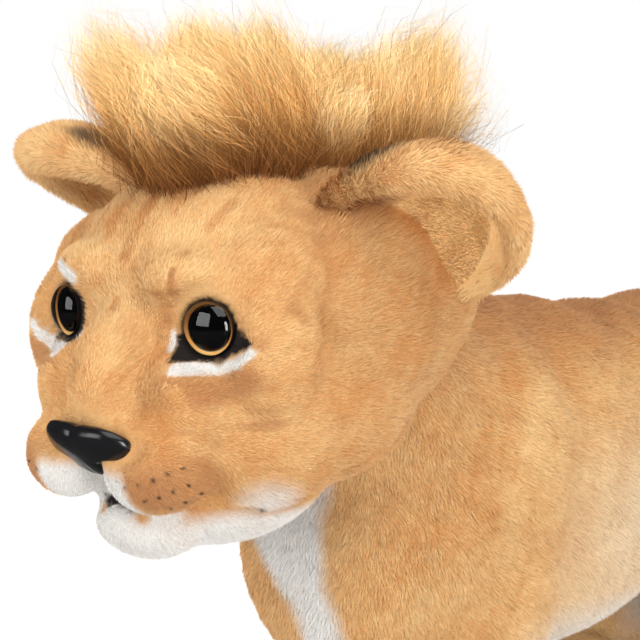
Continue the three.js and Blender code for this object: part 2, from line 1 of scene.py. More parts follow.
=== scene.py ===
# %% [markdown]
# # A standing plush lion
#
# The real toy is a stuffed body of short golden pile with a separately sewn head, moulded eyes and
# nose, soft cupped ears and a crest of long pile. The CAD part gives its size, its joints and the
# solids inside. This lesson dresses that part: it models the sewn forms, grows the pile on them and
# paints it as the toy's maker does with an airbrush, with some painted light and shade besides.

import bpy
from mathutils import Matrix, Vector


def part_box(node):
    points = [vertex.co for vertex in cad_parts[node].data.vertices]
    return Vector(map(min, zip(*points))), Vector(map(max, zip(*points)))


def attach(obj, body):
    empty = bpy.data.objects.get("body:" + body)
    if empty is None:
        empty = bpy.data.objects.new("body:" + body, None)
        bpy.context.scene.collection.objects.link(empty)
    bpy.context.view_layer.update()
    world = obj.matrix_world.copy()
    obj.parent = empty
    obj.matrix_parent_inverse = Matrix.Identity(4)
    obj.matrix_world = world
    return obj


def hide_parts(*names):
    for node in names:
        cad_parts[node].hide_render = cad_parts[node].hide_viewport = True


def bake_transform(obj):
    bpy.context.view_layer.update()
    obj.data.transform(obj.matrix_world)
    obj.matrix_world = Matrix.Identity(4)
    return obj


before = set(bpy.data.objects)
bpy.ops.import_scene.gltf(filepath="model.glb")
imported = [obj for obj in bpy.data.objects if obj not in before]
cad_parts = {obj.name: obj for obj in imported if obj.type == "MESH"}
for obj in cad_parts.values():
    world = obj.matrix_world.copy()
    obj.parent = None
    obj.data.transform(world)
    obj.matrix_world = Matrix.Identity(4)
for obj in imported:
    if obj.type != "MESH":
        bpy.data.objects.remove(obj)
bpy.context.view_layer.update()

# %% Tools used throughout
import math

import bpy
import numpy as np
from mathutils import Matrix, Vector

MM = 0.001
SIDES = {"left": 1, "right": -1}
scene = bpy.context.scene

# %% [markdown]
# ## Where things are
#
# Every place on the lion is counted from the point midway between the backs of its eyes, because
# the eyes are the one thing that the photograph, the CAD part and the sewn face all share. The
# eyes' own places come from the CAD nodes, so they follow when the part changes. Only their splay is
# the photograph's, because its eyes look further forwards than the part's.

# %% The point between the eyes
EYE_SPLAY = math.radians(16)
CAD_SPLAY = math.radians(30)
eye_backs, eye_fronts = {}, {}
for side, sign in SIDES.items():
    low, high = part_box(f"eye_{side}_lens")
    radius = (high.z - low.z) / 2
    inner = min(abs(low.x), abs(high.x))
    eye_fronts[side] = Vector((sign * math.sin(EYE_SPLAY), -math.cos(EYE_SPLAY), 0))
    eye_backs[side] = Vector((
        sign * (inner + radius * math.cos(CAD_SPLAY)),
        high.y - radius * math.sin(CAD_SPLAY),
        (low.z + high.z) / 2,
    ))
between = (eye_backs["left"] + eye_backs["right"]) / 2 - Vector((0, 2 * MM, 0))
print("between the eyes", [round(v, 4) for v in between])


def spot(x, back, up):
    """A place in metres, from millimetres to the lion's left, backwards and up."""
    return between + Vector((x, back, up)) * MM


def from_middle(points):
    """Places in metres as millimetres from the point between the eyes."""
    return (points - np.array(between)) / MM


def from_eyes(points):
    """The same with both sides folded to one."""
    local = from_middle(points)
    local[:, 0] = np.abs(local[:, 0])
    return local


# %% [markdown]
# ## Camera, lamps and floor
#
# The toy was photographed from its front left, a little above its eyes, with a fairly long lens.
# Three large soft lamps and a pale world give the even studio light. The floor and the world are
# white only where the camera looks straight at them, and glossy pieces see the lamps in a dark room.

# %% Camera
AZIMUTH = math.radians(38.4)
ELEVATION = math.radians(9)
LENS = 96.2
DISTANCE = 0.9
toward_camera = Vector((
    math.sin(AZIMUTH) * math.cos(ELEVATION),
    -math.cos(AZIMUTH) * math.cos(ELEVATION),
    math.sin(ELEVATION),
))
camera_data = bpy.data.cameras.new("camera")
camera_data.lens = LENS
camera_data.sensor_width = 36
camera = bpy.data.objects.new("camera", camera_data)
scene.collection.objects.link(camera)
camera.location = spot(97.6, 39, 4) + toward_camera * DISTANCE
camera.rotation_euler = toward_camera.to_track_quat("Z", "Y").to_euler()
scene.camera = camera
scene.view_settings.view_transform = "Standard"
print("camera at", [round(v, 3) for v in camera.location])


# %% Lamps
def lamp(name, place, size, power):
    data = bpy.data.lights.new(name, "AREA")
    data.shape = "RECTANGLE"
    data.size, data.size_y = size
    data.energy = power
    light = bpy.data.objects.new(name, data)
    scene.collection.objects.link(light)
    light.location = place
    light.rotation_euler = (Vector(place) - spot(0, 100, -40)).to_track_quat("Z", "Y").to_euler()


def around(azimuth, elevation, distance):
    """A place round the head. Azimuth 0 is straight in front of the lion."""
    turn, rise = math.radians(azimuth), math.radians(elevation)
    way = Vector((math.sin(turn) * math.cos(rise), -math.cos(turn) * math.cos(rise), math.sin(rise)))
    return spot(0, 60, 0) + way * distance


lamp("lamp_front", around(-8, 20, 2.2), (1.5, 1.5), 26)
lamp("lamp_beside", around(76, 6, 2.4), (0.55, 1.2), 25)
lamp("lamp_above", around(70, 60, 2.3), (1.9, 1.9), 29)
print("three lamps")


# %% [markdown]
# ## Shader arithmetic
#
# A pattern is easier to read as an expression than as a drawing of boxes and wires. The small
# class below wraps a node's output, so that sums and products on it add the Math nodes.

# %% Sockets that can be added and multiplied
class Level:
    """One number that varies over a surface. Arithmetic on it adds Math nodes."""

    def __init__(self, recipe, socket):
        self.recipe = recipe
        self.socket = socket

    def math(self, operation, *others):
        values = [other if isinstance(other, (int, float)) else other.socket for other in others]
        return Level(self.recipe, self.recipe.node(
            "ShaderNodeMath", {"operation": operation}, dict(enumerate(values))).outputs[0])

    def __add__(self, other):
        return self.math("ADD", self, other)

    def __radd__(self, other):
        return self.math("ADD", other, self)

    def __sub__(self, other):
        return self.math("SUBTRACT", self, other)

    def __rsub__(self, other):
        return self.math("SUBTRACT", other, self)

    def __mul__(self, other):
        return self.math("MULTIPLY", self, other)

    def __rmul__(self, other):
        return self.math("MULTIPLY", other, self)

    def __truediv__(self, other):
        return self.math("DIVIDE", self, other)

    def clip(self):
        return self.math("MINIMUM", self.math("MAXIMUM", self, 0.0), 1.0)


class Recipe:
    """The nodes of a material or of the world. The shader is the one that its output shows."""

    def __init__(self, owner, shader="Principled BSDF"):
        self.material = owner
        owner.use_nodes = True
        self.tree = owner.node_tree
        self.shader = self.tree.nodes[shader]

    def node(self, kind, settings=None, values=None):
        made = self.tree.nodes.new(kind)
        for key, setting in (settings or {}).items():
            if key == "stops":
                self.set_stops(made.color_ramp, setting)
            else:
                setattr(made, key, setting)
        for key, value in (values or {}).items():
            self.feed(made.inputs[key], value)
        return made

    def set_stops(self, ramp, stops):
        while len(ramp.elements) < len(stops):
            ramp.elements.new(1.0)
        for element, (place, colour) in zip(ramp.elements, stops):
            element.position = place
            element.color = (*colour, 1)

    def feed(self, socket, value):
        if isinstance(value, Level):
            value = value.socket
        if isinstance(value, bpy.types.NodeSocket):
            self.tree.links.new(value, socket)
        elif isinstance(value, tuple) and len(value) == 3 and socket.type == "RGBA":
            socket.default_value = (*value, 1)
        else:
            socket.default_value = value

    def level(self, socket):
        return Level(self, socket)

    def place(self):
        return self.node("ShaderNodeTexCoord").outputs["Object"]

    def attribute(self, name):
        """The three numbers of a vector that the mesh carries."""
        read = self.node("ShaderNodeAttribute", {"attribute_name": name})
        split = self.node("ShaderNodeSeparateXYZ", values={0: read.outputs["Vector"]})
        return [self.level(output) for output in split.outputs]

    def noise(self, scale, detail=2.0):
        made = self.node("ShaderNodeTexNoise", values={
            "Vector": self.place(), "Scale": scale, "Detail": detail, "Roughness": 0.55,
        })
        return self.level(made.outputs["Fac"])

    def height(self):
        """The height above the floor, in metres."""
        return self.level(self.node("ShaderNodeSeparateXYZ", values={0: self.place()}).outputs[2])

    def mix(self, share, first, second):
        made = self.node("ShaderNodeMix", {"data_type": "RGBA"}, {0: share, 6: first, 7: second})
        return made.outputs[2]

    def bump(self, height, strength, distance):
        made = self.node("ShaderNodeBump", values={
            "Height": height, "Strength": strength, "Distance": distance,
        })
        self.feed(self.shader.inputs["Normal"], made.outputs["Normal"])

    def set(self, **values):
        """Fills the shader's own inputs. An underscore stands for a space in their names."""
        for name, value in values.items():
            self.feed(self.shader.inputs[name.replace("_", " ")], value)


def new_paint(name):
    return Recipe(bpy.data.materials.new(name))


print("shader helpers ready")


# %% Adding, selecting and editing pieces
def select_only(*pieces):
    bpy.ops.object.select_all(action="DESELECT")
    for piece in pieces:
        piece.select_set(True)
        bpy.context.view_layer.objects.active = pieces[0]


def add(primitive, **settings):
    """A new piece from one of Blender's primitives, with nothing else selected."""
    select_only()
    primitive(**settings)
    return bpy.context.object


def sphere(segments, rings, **settings):
    return add(bpy.ops.mesh.primitive_uv_sphere_add, segments=segments, ring_count=rings, **settings)


def edit(operation, **settings):
    """One operation of edit mode on the whole of the active piece."""
    bpy.ops.object.mode_set(mode="EDIT")
    bpy.ops.mesh.select_all(action="SELECT")
    operation(**settings)
    bpy.ops.object.mode_set(mode="OBJECT")


def apply_modifier(piece, kind, **settings):
    select_only(piece)
    modifier = piece.modifiers.new(kind.lower(), kind)
    for name, value in settings.items():
        setattr(modifier, name, value)
    bpy.ops.object.modifier_apply(modifier=modifier.name)


def coated(material, *pieces):
    for piece in pieces:
        piece.data.materials.append(material)


print("piece helpers ready")

# %% World and floor
scene.world = bpy.data.worlds.new("studio")
sky = Recipe(scene.world, "Background")
rays = sky.node("ShaderNodeLightPath").outputs
seen = sky.node("ShaderNodeMath", {"operation": "MAXIMUM"}, {
    0: rays["Is Camera Ray"], 1: rays["Is Transmission Ray"],
})
lighting = sky.node("ShaderNodeMapRange", values={
    "Value": rays["Is Glossy Ray"], "To Min": 0.74, "To Max": 0.06,
})
strength = sky.node("ShaderNodeMapRange", values={
    "Value": seen.outputs[0], "To Min": lighting.outputs[0], "To Max": 1.0,
})
sky.set(Color=(1, 1, 1), Strength=strength.outputs[0])

floor = add(bpy.ops.mesh.primitive_plane_add, size=9)
floor.name = "studio_floor"
floor_paint = new_paint("floor_paper")
floor_rays = floor_paint.node("ShaderNodeLightPath").outputs
floor_paint.set(
    Base_Color=floor_paint.mix(floor_rays["Is Glossy Ray"], (0.9, 0.9, 0.9), (0.06, 0.06, 0.06)),
    Roughness=0.9,
    Emission_Color=(1, 1, 1),
    Emission_Strength=floor_paint.level(floor_rays["Is Camera Ray"]) * 0.45,
)
coated(floor_paint.material, floor)
print("white world, pale floor")


# %% [markdown]
# ## Sewn and stuffed forms
#
# A stuffed toy is a bag that fibre pushes outwards, so it is made of overlapping eggs that melt
# into each other. Each egg is a sphere added at its size and place. Voxel remeshing fuses them
# into one skin, and smoothing pulls the skin taut between them as cloth does over filling.

# %% Eggs of filling, fused into one skin
def egg(x, back, up, wide, deep, tall, lean=0.0, turn=0.0):
    """Half sizes in millimetres. The lean tips it forwards, the turn swings it about the upright."""
    made = sphere(32, 20, location=spot(x, back, up))
    made.scale = (wide * MM, deep * MM, tall * MM)
    made.rotation_euler = (math.radians(lean), 0, math.radians(turn))
    return made


def eggs(rows, floor=0.0):
    """An egg for each row, and its mirror image too where the row stands off the middle."""
    made = []
    for x, back, up, *rest in rows:
        made.append(egg(x, back, floor + up, *rest))
        if x:
            made.append(egg(-x, back, floor + up, *rest[:4], *(-turn for turn in rest[4:])))
    return made


def smooth_shaded(piece):
    select_only(piece)
    bpy.ops.object.shade_smooth()
    return piece


def fuse(name, parts, grid, rounds):
    """Joins the parts, melts them on a voxel grid and smooths the result."""
    select_only(*parts)
    bpy.ops.object.join()
    bpy.ops.object.transform_apply()
    piece = bpy.context.object
    piece.name = piece.data.name = name
    apply_modifier(piece, "REMESH", mode="VOXEL", voxel_size=grid * MM)
    apply_modifier(piece, "SMOOTH", factor=0.5, iterations=rounds)
    print(name, len(piece.data.polygons), "faces")
    return smooth_shaded(piece)


def read_rows(items, key, kind=float):
    """A mesh's vectors as rows of three numbers."""
    rows = np.empty(len(items) * 3, kind)
    items.foreach_get(key, rows)
    return rows.reshape(-1, 3)


def read_points(piece):
    return read_rows(piece.data.vertices, "co")


def read_normals(piece):
    return read_rows(piece.data.vertex_normals, "vector")


def write_points(piece, points):
    piece.data.vertices.foreach_set("co", points.ravel())
    piece.data.update()


def store(mesh, name, rows):
    """Keeps three numbers for each point of the mesh, for its material to read."""
    layer = mesh.attributes.new(name, "FLOAT_VECTOR", "POINT")
    layer.data.foreach_set("vector", rows.astype(np.float32).ravel())


def ease(values):
    """0 below zero, 1 above one, and a smooth rise between."""
    values = np.clip(values, 0, 1)
    return values * values * (3 - 2 * values)


def unit(vectors):
    return vectors / np.maximum(np.linalg.norm(vectors, axis=1), 1e-9)[:, None]


def strongest(*zones):
    return np.maximum.reduce(zones)


def ball(local, centre, sizes, edge=0.3):
    """1 inside an egg-shaped zone, fading to 0 over an edge given as a share of its size."""
    distance = np.linalg.norm((local - np.array(centre)) / np.array(sizes), axis=1)
    return ease((1 - distance) / edge + 0.5)


def stroke(local, points, width, edge=0.5):
    """1 along a line through points, fading out beyond its half width."""
    nearest = np.full(len(local), 1e9)
    for start, end in zip(points[:-1], points[1:]):
        start, end = np.array(start, float), np.array(end, float)
        along = np.clip((local - start) @ (end - start) / np.sum((end - start) ** 2), 0, 1)
        gap = np.linalg.norm(local - start - along[:, None] * (end - start), axis=1)
        nearest = np.minimum(nearest, gap)
    return ease((1 - nearest / width) / edge + 0.5)


def ripple(points, size, seed):
    """A smooth wave-like noise from -1 to 1, with features of about that size in millimetres."""
    rng = np.random.default_rng(seed)
    total = np.zeros(len(points))
    for _ in range(5):
        way = rng.normal(size=3)
        way *= 2 * math.pi / (size * MM * rng.uniform(0.7, 1.6)) / np.linalg.norm(way)
        total += np.sin(points @ way + rng.uniform(0, 6.28))
    return total / 3


# %% [markdown]
# ## The head
#
# The head is one stuffed ball with a long muzzle. Two pads puff out beside the nose, the chin
# hangs under them, the cheeks swell below the eyes and the brow stands a little over them.

# %% Head form
# Each egg: side, back and up from the eyes, half width, depth and height, lean and turn
head_skin = fuse("head_plush", eggs([
    (0, 118, -12, 102, 92, 98), (0, 70, 3, 86, 84, 80), (0, 60, -88, 66, 76, 48),
    (0, 4, -56, 42, 46, 23), (0, -14, -28, 21, 28, 40, -28), (0, 13, -111, 33, 34, 25),
    (47, 52, -56, 48, 58, 54), (52, 92, -50, 50, 70, 50), (50, 166, 0, 48, 58, 54),
    (46, 150, -10, 52, 62, 62), (24, -20, -64, 22, 25, 19), (30, -15, -75, 28.5, 30, 26),
    (37, 6, -40, 32, 33, 32), (68, 27, -16, 31, 31, 42), (53, 44, 16, 38, 40, 38),
    (34, 4, 24, 28, 20, 16, 0, 24), (73, 110, 12, 31, 58, 54),
]), 3.4, 9)


# %% Eye seats, mouth and bridge pressed into the head
def press(piece, amount):
    """Moves each point along its normal by an amount in millimetres."""
    write_points(piece, read_points(piece) + read_normals(piece) * amount[:, None] * MM)


MOUTH_LINE = [(0, -8, -98), (14, -16, -102), (30, -12, -106), (46, 4, -109), (58, 26, -108)]
press(head_skin, -4.5 * stroke(from_eyes(read_points(head_skin)), MOUTH_LINE, 7, 1.2))
local = from_eyes(read_points(head_skin))
press(head_skin, -4.0 * stroke(local, [(0, -36, -80), (0, -8, -98)], 6, 1.2))
press(head_skin, -6.5 * ball(local, (27, -40, -61), (13, 20, 10), 0.9))

# Round each eye the skin drops to a flat seat, and a lid stands up at the seat's edge
SEAT_RADIUS, SEAT_LEVEL = 18.5, -1.2 * MM
LID_RADIUS, LID_LEVEL = 20.5, 2.4 * MM
points = read_points(head_skin)
for side in SIDES:
    out = np.array(eye_fronts[side])
    offset = points - np.array(eye_backs[side])
    height = offset @ out
    beside = offset - height[:, None] * out
    radius = np.linalg.norm(beside, axis=1) / MM
    near = np.abs(height) < 30 * MM
    seat = ease((SEAT_RADIUS - radius) / 3) * near
    lid = np.exp(-((radius - LID_RADIUS) / 4) ** 2) * near
    level = SEAT_LEVEL * seat + LID_LEVEL * lid
    share = np.clip(seat + 0.75 * lid, 0, 1)
    points += ((level - height) * share)[:, None] * out
write_points(head_skin, points)
apply_modifier(head_skin, "SMOOTH", factor=0.4, iterations=2)
print("face pressed in")

# %% [markdown]
# ## Body, legs and tail
#
# The body is a barrel with shoulders, hips and a deep chest, and a thick neck that the head's
# ball sits on. The photograph ends before the legs, so they follow the CAD part: straight front
# legs, bent hind legs, and paws with four toes.

# %% Body form
# The floor's height as counted from the eyes, in millimetres
FLOOR = -between.z / MM
body_skin = fuse("body_plush", eggs([
    (0, 230, 246, 91, 86, 118), (0, 300, 252, 94, 100, 122), (0, 380, 250, 94, 130, 120),
    (0, 485, 248, 90, 120, 108), (0, 590, 254, 82, 96, 98), (0, 630, 262, 72, 66, 84),
    (0, 216, 318, 80, 80, 76), (0, 275, 345, 56, 80, 36, 14), (0, 176, 228, 72, 38, 82),
    (0, 400, 206, 80, 210, 80), (36, 402, 192, 55, 164, 70), (50, 272, 196, 45, 64, 92),
    (44, 285, 262, 54, 76, 98, 8), (42, 598, 246, 54, 84, 92, -10),
], FLOOR), 6, 14)
behind_chest = body_skin.vertex_groups.new(name="behind_chest")
backs = from_middle(read_points(body_skin))[:, 1]
behind_chest.add([int(index) for index in np.flatnonzero(backs > 300)], 1.0, "REPLACE")
apply_modifier(body_skin, "SMOOTH", factor=0.5, iterations=36, vertex_group="behind_chest")

# %% Legs and toes
# Each kind of leg: how far to the side, its eggs as above, its toes (back, height, spacing, half
# width, depth and height) and the rounds of smoothing
LEGS = {
    "front": (58, [
        (268, 140, 35, 46, 50), (267, 120, 37, 45, 56), (272, 88, 36, 40, 52),
        (268, 48, 35, 38, 38), (252, 24, 40, 50, 22), (275, 20, 34, 36, 18),
    ], (210, 17, 18.5, 11.5, 20, 14.5), 10),
    "rear": (61, [
        (618, 176, 45, 74, 66), (606, 142, 44, 68, 58, 10), (640, 100, 34, 42, 44, 24),
        (664, 70, 29, 30, 40), (664, 38, 30, 32, 30), (645, 21, 36, 50, 19),
    ], (604, 15, 16.5, 10.5, 18, 13), 12),
}
legs = {}
for side, sign in SIDES.items():
    for kind, (x, rows, (toe_back, toe_up, spacing, *toe_sizes), rounds) in LEGS.items():
        parts = [egg(sign * x, back, FLOOR + up, *rest) for back, up, *rest in rows]
        for share, step in ((-1.5, 5), (-0.5, 0), (0.5, 0), (1.5, 5)):
            parts.append(egg(sign * x + share * spacing, toe_back + step, FLOOR + toe_up, *toe_sizes))
        legs[f"{kind}_{side}"] = fuse(f"{kind}_{side}_leg_plush", parts, 4, rounds)

# %% Flat soles
SOLE_HEIGHT = 1.2 * MM
for leg in legs.values():
    points = read_points(leg)
    points[:, 2] = np.maximum(points[:, 2], SOLE_HEIGHT)
    write_points(leg, points)
print("soles flattened")

# %% Tail
TAIL_LINE = [
    (684, 300), (697, 300), (712, 300), (727, 298), (741, 290), (752, 276), (759, 258),
    (763, 236), (766, 212), (768, 188), (769, 164), (770, 142), (770, 124),
]
TAIL_HALF = 12.5
tail_eggs = []
for (y0, z0), (y1, z1) in zip(TAIL_LINE[:-1], TAIL_LINE[1:]):
    for share in (0.0, 0.33, 0.67):
        y, z = y0 + (y1 - y0) * share, z0 + (z1 - z0) * share
        tail_eggs.append(egg(0, y, FLOOR + z, TAIL_HALF, TAIL_HALF, TAIL_HALF))
tail_skin = fuse("tail_plush", tail_eggs, 3, 6)

# %% [markdown]
# ## The ears
#
# Each ear is two layers of plush sewn into a deep cup with a thick rolled rim. A sphere is cut in
# half for the cup, given its wall, and remeshed so that the rim turns round.

# %% Ear form
EAR_ROOT = (87, 121, 19)
EAR_FRONT = (71, 66, 53)
ear_root = spot(*EAR_ROOT)
ear_front = spot(*EAR_FRONT)
root_line = (ear_root - ear_front).normalized()
ear_rise = math.radians(38)
ear_mouth = root_line.cross(Vector((math.cos(ear_rise), 0, math.sin(ear_rise)))).normalized()
ear_reach = ear_mouth.cross(root_line).normalized()
ear_frame = Matrix((root_line, ear_reach, ear_mouth)).transposed().to_4x4()
ear_frame.translation = ear_root
EAR_TILT = math.radians(18)
EAR_MIDDLE = (0, 12)
EAR_HALF = (66, 83)
EAR_DEPTH = 34
EAR_SLANT = 0.3


def ear_cup():
    """A cup with a rolled rim, in the ear's own frame: along its root, outwards, towards its mouth."""
    cup = sphere(40, 28)
    cup.name = "ear_left_plush"
    cup.scale = (EAR_HALF[0] * MM, EAR_HALF[1] * MM, EAR_DEPTH * MM)
    cup.location = (EAR_MIDDLE[0] * MM, EAR_MIDDLE[1] * MM, 0)
    bpy.ops.object.transform_apply()
    mouth = (0, -math.sin(EAR_TILT), math.cos(EAR_TILT))
    edit(bpy.ops.mesh.bisect, plane_co=(0, 62 * MM, 4 * MM), plane_no=mouth, clear_outer=True)
    edit(bpy.ops.mesh.bisect, plane_co=(0, -12 * MM, 0), plane_no=(0, -1, 0), clear_outer=True)
    apply_modifier(cup, "SOLIDIFY", thickness=11 * MM, offset=-1)
    rolls = []
    for step in range(24):
        turn = math.radians(-6 + 8 * step)
        along = EAR_MIDDLE[0] - (EAR_HALF[0] - 6) * math.cos(turn)
        reach = EAR_MIDDLE[1] + (EAR_HALF[1] - 6) * math.sin(turn)
        thick = 12 - 0.9 * max(6 - step, 0) - 0.1 * step - 0.36 * max(step - 12, 0)
        depth = 1 + (reach - 62) * math.tan(EAR_TILT)
        rolls.append(sphere(20, 12, radius=thick * MM, location=(along * MM, reach * MM, depth * MM)))
    select_only(cup, *rolls)
    bpy.ops.object.join()
    apply_modifier(cup, "REMESH", mode="VOXEL", voxel_size=2.6 * MM)
    apply_modifier(cup, "SMOOTH", factor=0.5, iterations=10)
    points = read_points(cup)
    reach = points[:, 1] / MM
    rim = ease((points[:, 2] / MM + 10) / 14) * ease((reach + 6) / 30)
    points[:, 2] += rim * 4 * MM
    points[:, 0] -= EAR_SLANT * (points[:, 1] - EAR_MIDDLE[1] * MM)
    write_points(cup, points)
    cup.data.transform(ear_frame)
    return smooth_shaded(cup)


ears = {"left": ear_cup()}
select_only(ears["left"])
bpy.ops.object.duplicate()
mirrored = bpy.context.object
mirrored.name = "ear_right_plush"
mirrored.scale = (-1, 1, 1)
bpy.ops.object.transform_apply()
edit(bpy.ops.mesh.normals_make_consistent, inside=False)
# The toy's right ear stands out further than its left
pivot = Matrix.Translation(spot(-EAR_ROOT[0], *EAR_ROOT[1:]))
ear_lean = Matrix.Rotation(math.radians(5), 4, toward_camera) @ Matrix.Scale(1.1, 4)
mirrored.data.transform(pivot @ ear_lean @ pivot.inverted())
ears["right"] = mirrored
print("ears", [len(e.data.polygons) for e in ears.values()])

# %% [markdown]
# ## Airbrushed colour, and painted light and shade
#
# On the real toy the white, the dark lines and the rusty shading are sprayed on the finished pile.
# Here each zone is a soft shape counted from the eyes. Its amount is stored on the mesh, as
# cream, dark and rust, so that the skin and the hairs that grow from it agree. A rust below zero
# asks for straw, the pale gold of thin or brushed-up pile. Some zones are painted light and shade
# and not spray: the shade towards the back of the head, a painted shadow and darker rust at the
# front of each ear's cup, and the straw inside the ears and on the legs, painted light where the
# pile lies in shade.

# %% Zones on the face
EYE_AT = np.array([53.0, 2.0, 0.0])
EYE_OUT = np.array([math.sin(EYE_SPLAY), -math.cos(EYE_SPLAY), 0.0])
EYE_SIDE = np.array([math.cos(EYE_SPLAY), math.sin(EYE_SPLAY), 0.0])


def on_eye_plane(local):
    """Millimetres outwards and upwards from the eye's centre, across its face."""
    offset = local - EYE_AT
    return offset @ EYE_SIDE, offset[:, 2], offset @ EYE_OUT


def patch(flat, corners, soft=0.9):
    """1 inside a patch with straight edges, given by its corners in turn."""
    inside = np.full(len(flat), 1e9)
    middle = np.mean(corners, axis=0)
    for start, end in zip(corners, corners[1:] + corners[:1]):
        start, end = np.array(start, float), np.array(end, float)
        across = np.array([start[1] - end[1], end[0] - start[0]])
        across *= np.sign((middle - start) @ across) / np.linalg.norm(across)
        inside = np.minimum(inside, (flat - start) @ across)
    return ease(inside / soft + 0.5)


def face_zones(local, right):
    side, up, out = on_eye_plane(local)
    front = np.abs(out) < 22
    flat = np.stack([side, up], 1)
    dark = strongest(
        ease((16.8 - np.hypot(side, up)) / 1.5),
        patch(flat, [(-18.5, -4), (-18.5, -17.5), (10, -17.5), (12, -4)]),
        patch(flat, [(11, 6), (29.5, -5.5), (10, -15.5)]) * (1 - right),
        patch(flat, [(-8, 20), (-22, 19), (-27, 6), (-19, -14), (-8, -8)]) * right,
    ) * front
    cream = strongest(
        stroke(flat, [(-14, -20.4), (8, -20.4), (20, -16), (28, -10)], 2.7, 0.4),
        stroke(flat, [(-20, -3), (-20.5, -11)], 2, 0.6),
        stroke(flat, [(-26, 22), (-10, 27)], 4, 0.8) * right,
    ) * front * (1 - dark)
    rust = strongest(
        0.8 * stroke(flat, [(-16, -31), (6, -32), (26, -25)], 8, 1.3),
        0.8 * stroke(flat, [(-16.5, 19), (-16, 31)], 1.9, 1),
        0.55 * ball(flat, (-23, 4), (4.5, 5), 1),
        0.4 * ball(flat, (33, -5), (5, 4), 1),
    ) * front
    return cream, dark, rust * (1 - cream)


def whisker_dots(local):
    """Three rising rows of small spots on each pad, counted along its width and its height."""
    side, back, up = local.T
    flat = np.stack([side * 0.81 + back * 0.59, up], 1)
    on_pad = (back < 20) & (up < -60)
    spots = np.zeros(len(local))
    for start, rise, count in ((1, -80.5, 5), (11.5, -88, 4), (24.5, -93.5, 3)):
        for step in range(count):
            gap = np.linalg.norm(flat - np.array([start + 7.8 * step, rise + 2.6 * step]), axis=1)
            spots = np.maximum(spots, ease((1.6 - gap) / 1.1))
    return 0.85 * spots * on_pad


def away_from_nose(points):
    local = from_middle(points)
    way = local - np.array([0.0, -62.0, -52.0])
    way[:, 2] -= 20 * ease((-local[:, 2] - 40) / 60)
    return unit(way)


def head_zones(points):
    local = from_eyes(points)
    side, back, up = local.T
    cream, dark, rust = face_zones(local, points[:, 0] < between.x)
    chin = ball(local, (0, -6, -120), (44, 48, 22), 0.5)
    jaw = ball(local, (38, 42, -124), (34, 60, 20), 0.6)
    lip = ease((33 - side) / 8 + 0.5) * ease((-75 - up) / 9 + 0.5) * (back < 10)
    cheek = ball(local, (66, 34, -88), (16, 20, 22), 0.8) * 0.8
    cream = strongest(cream, chin, jaw, lip, cheek)
    gold_pad = ball(local, (46, -20, -80), (21, 36, 18), 0.5)
    cream = cream * (1 - 0.85 * gold_pad * (1 - lip))
    mouth = stroke(local, [(2, -10, -100), (12, -14, -101)], 3.4, 0.8)
    orange = stroke(local, [(2, -8, -108), (14, -10, -107)], 4.5, 0.9)
    cream = cream * (1 - orange)
    lips = 0.5 * stroke(local, MOUTH_LINE, 1.6, 1.2)
    corner = stroke(local, [(50, 14, -109), (62, 32, -107)], 3.6, 0.9)
    dark = strongest(dark, mouth, lips, 0.85 * corner, whisker_dots(local))
    straw = strongest(
        0.26 * ball(local, (0, 20, 50), (70, 60, 60), 1.0),
        0.22 * ball(local, (0, -20, -10), (26, 50, 50), 1.0),
    )
    brow = strongest(
        stroke(local, [(1, 16, 66), (2, 5, 50), (2, -6, 34)], 2.6, 1.3),
        0.6 * stroke(local, [(1, -15, 12), (1, -22, -6)], 2.4, 1.3),
        stroke(local, [(22, 30, 70), (17, 14, 58), (16, 6, 44)], 2.6, 1.3),
        stroke(local, [(26, 6, 34), (28, 1, 16)], 2.4, 1.3),
        0.6 * stroke(local, [(44, 34, 66), (40, 16, 50)], 3, 1.3),
    ) * 0.8
    flecks = ease(ripple(points * np.array([1, 1, 0.4]), 15, 301) - 0.45)
    flecks *= ball(local, (48, 8, -46), (34, 44, 34), 0.8) * 0.55
    cheek_band = stroke(local, [(46, 0, -40), (66, 20, -58), (76, 50, -84)], 11, 1.4) * 0.4
    rays = ripple(away_from_nose(points) * 100 * MM, 13, 303)
    streaks = ease(0.9 * rays + 0.5 * ripple(points, 40, 304) - 0.35)
    streaks *= 0.5 * ease((120 - back) / 80)
    side_shade = 0.22 * ease((back - 20) / 70)
    rust = strongest(rust, brow, cheek_band, gold_pad * 0.75, flecks, streaks, 0.4 * orange)
    rust = rust + side_shade
    return np.stack([cream, dark, rust - straw * (1 - rust)], 1)


# %% Zones on the body, the legs and the ears
# The bib's middle line and half width at some heights above the floor. It runs aslant, as on the toy
BIB_HEIGHTS = [110, 200, 255, 300]
BIB_MIDDLE = [18, 12, -22, -36]
BIB_HALF = [10, 15, 37, 52]


def body_zones(points):
    local = from_eyes(points)
    back, z = local[:, 1], local[:, 2] - FLOOR
    beside = from_middle(points)[:, 0] - np.interp(z, BIB_HEIGHTS, BIB_MIDDLE)
    half_width = np.interp(z, BIB_HEIGHTS, BIB_HALF) + 3 * ripple(points, 30, 210)
    bib = ease((half_width - np.abs(beside)) / 17 + 0.5) * ease((210 - back) / 30) * ease((330 - z) / 30)
    flank = ease((320 - z) / 130) * ease((back - 250) / 170)
    belly = 0.9 * ease((190 - z) / 70) * ease((back - 230) / 90)
    cream = strongest(bib, 0.3 * flank, belly)
    spine = ball(local, (0, 430, FLOOR + 372), (86, 300, 58), 1.0)
    shoulder = ball(local, (70, 190, FLOOR + 290), (40, 50, 90), 1.0)
    rust = 0.95 * spine + 0.25 * shoulder - 0.5 * flank - 0.14
    return np.stack([cream, np.zeros(len(z)), rust], 1)


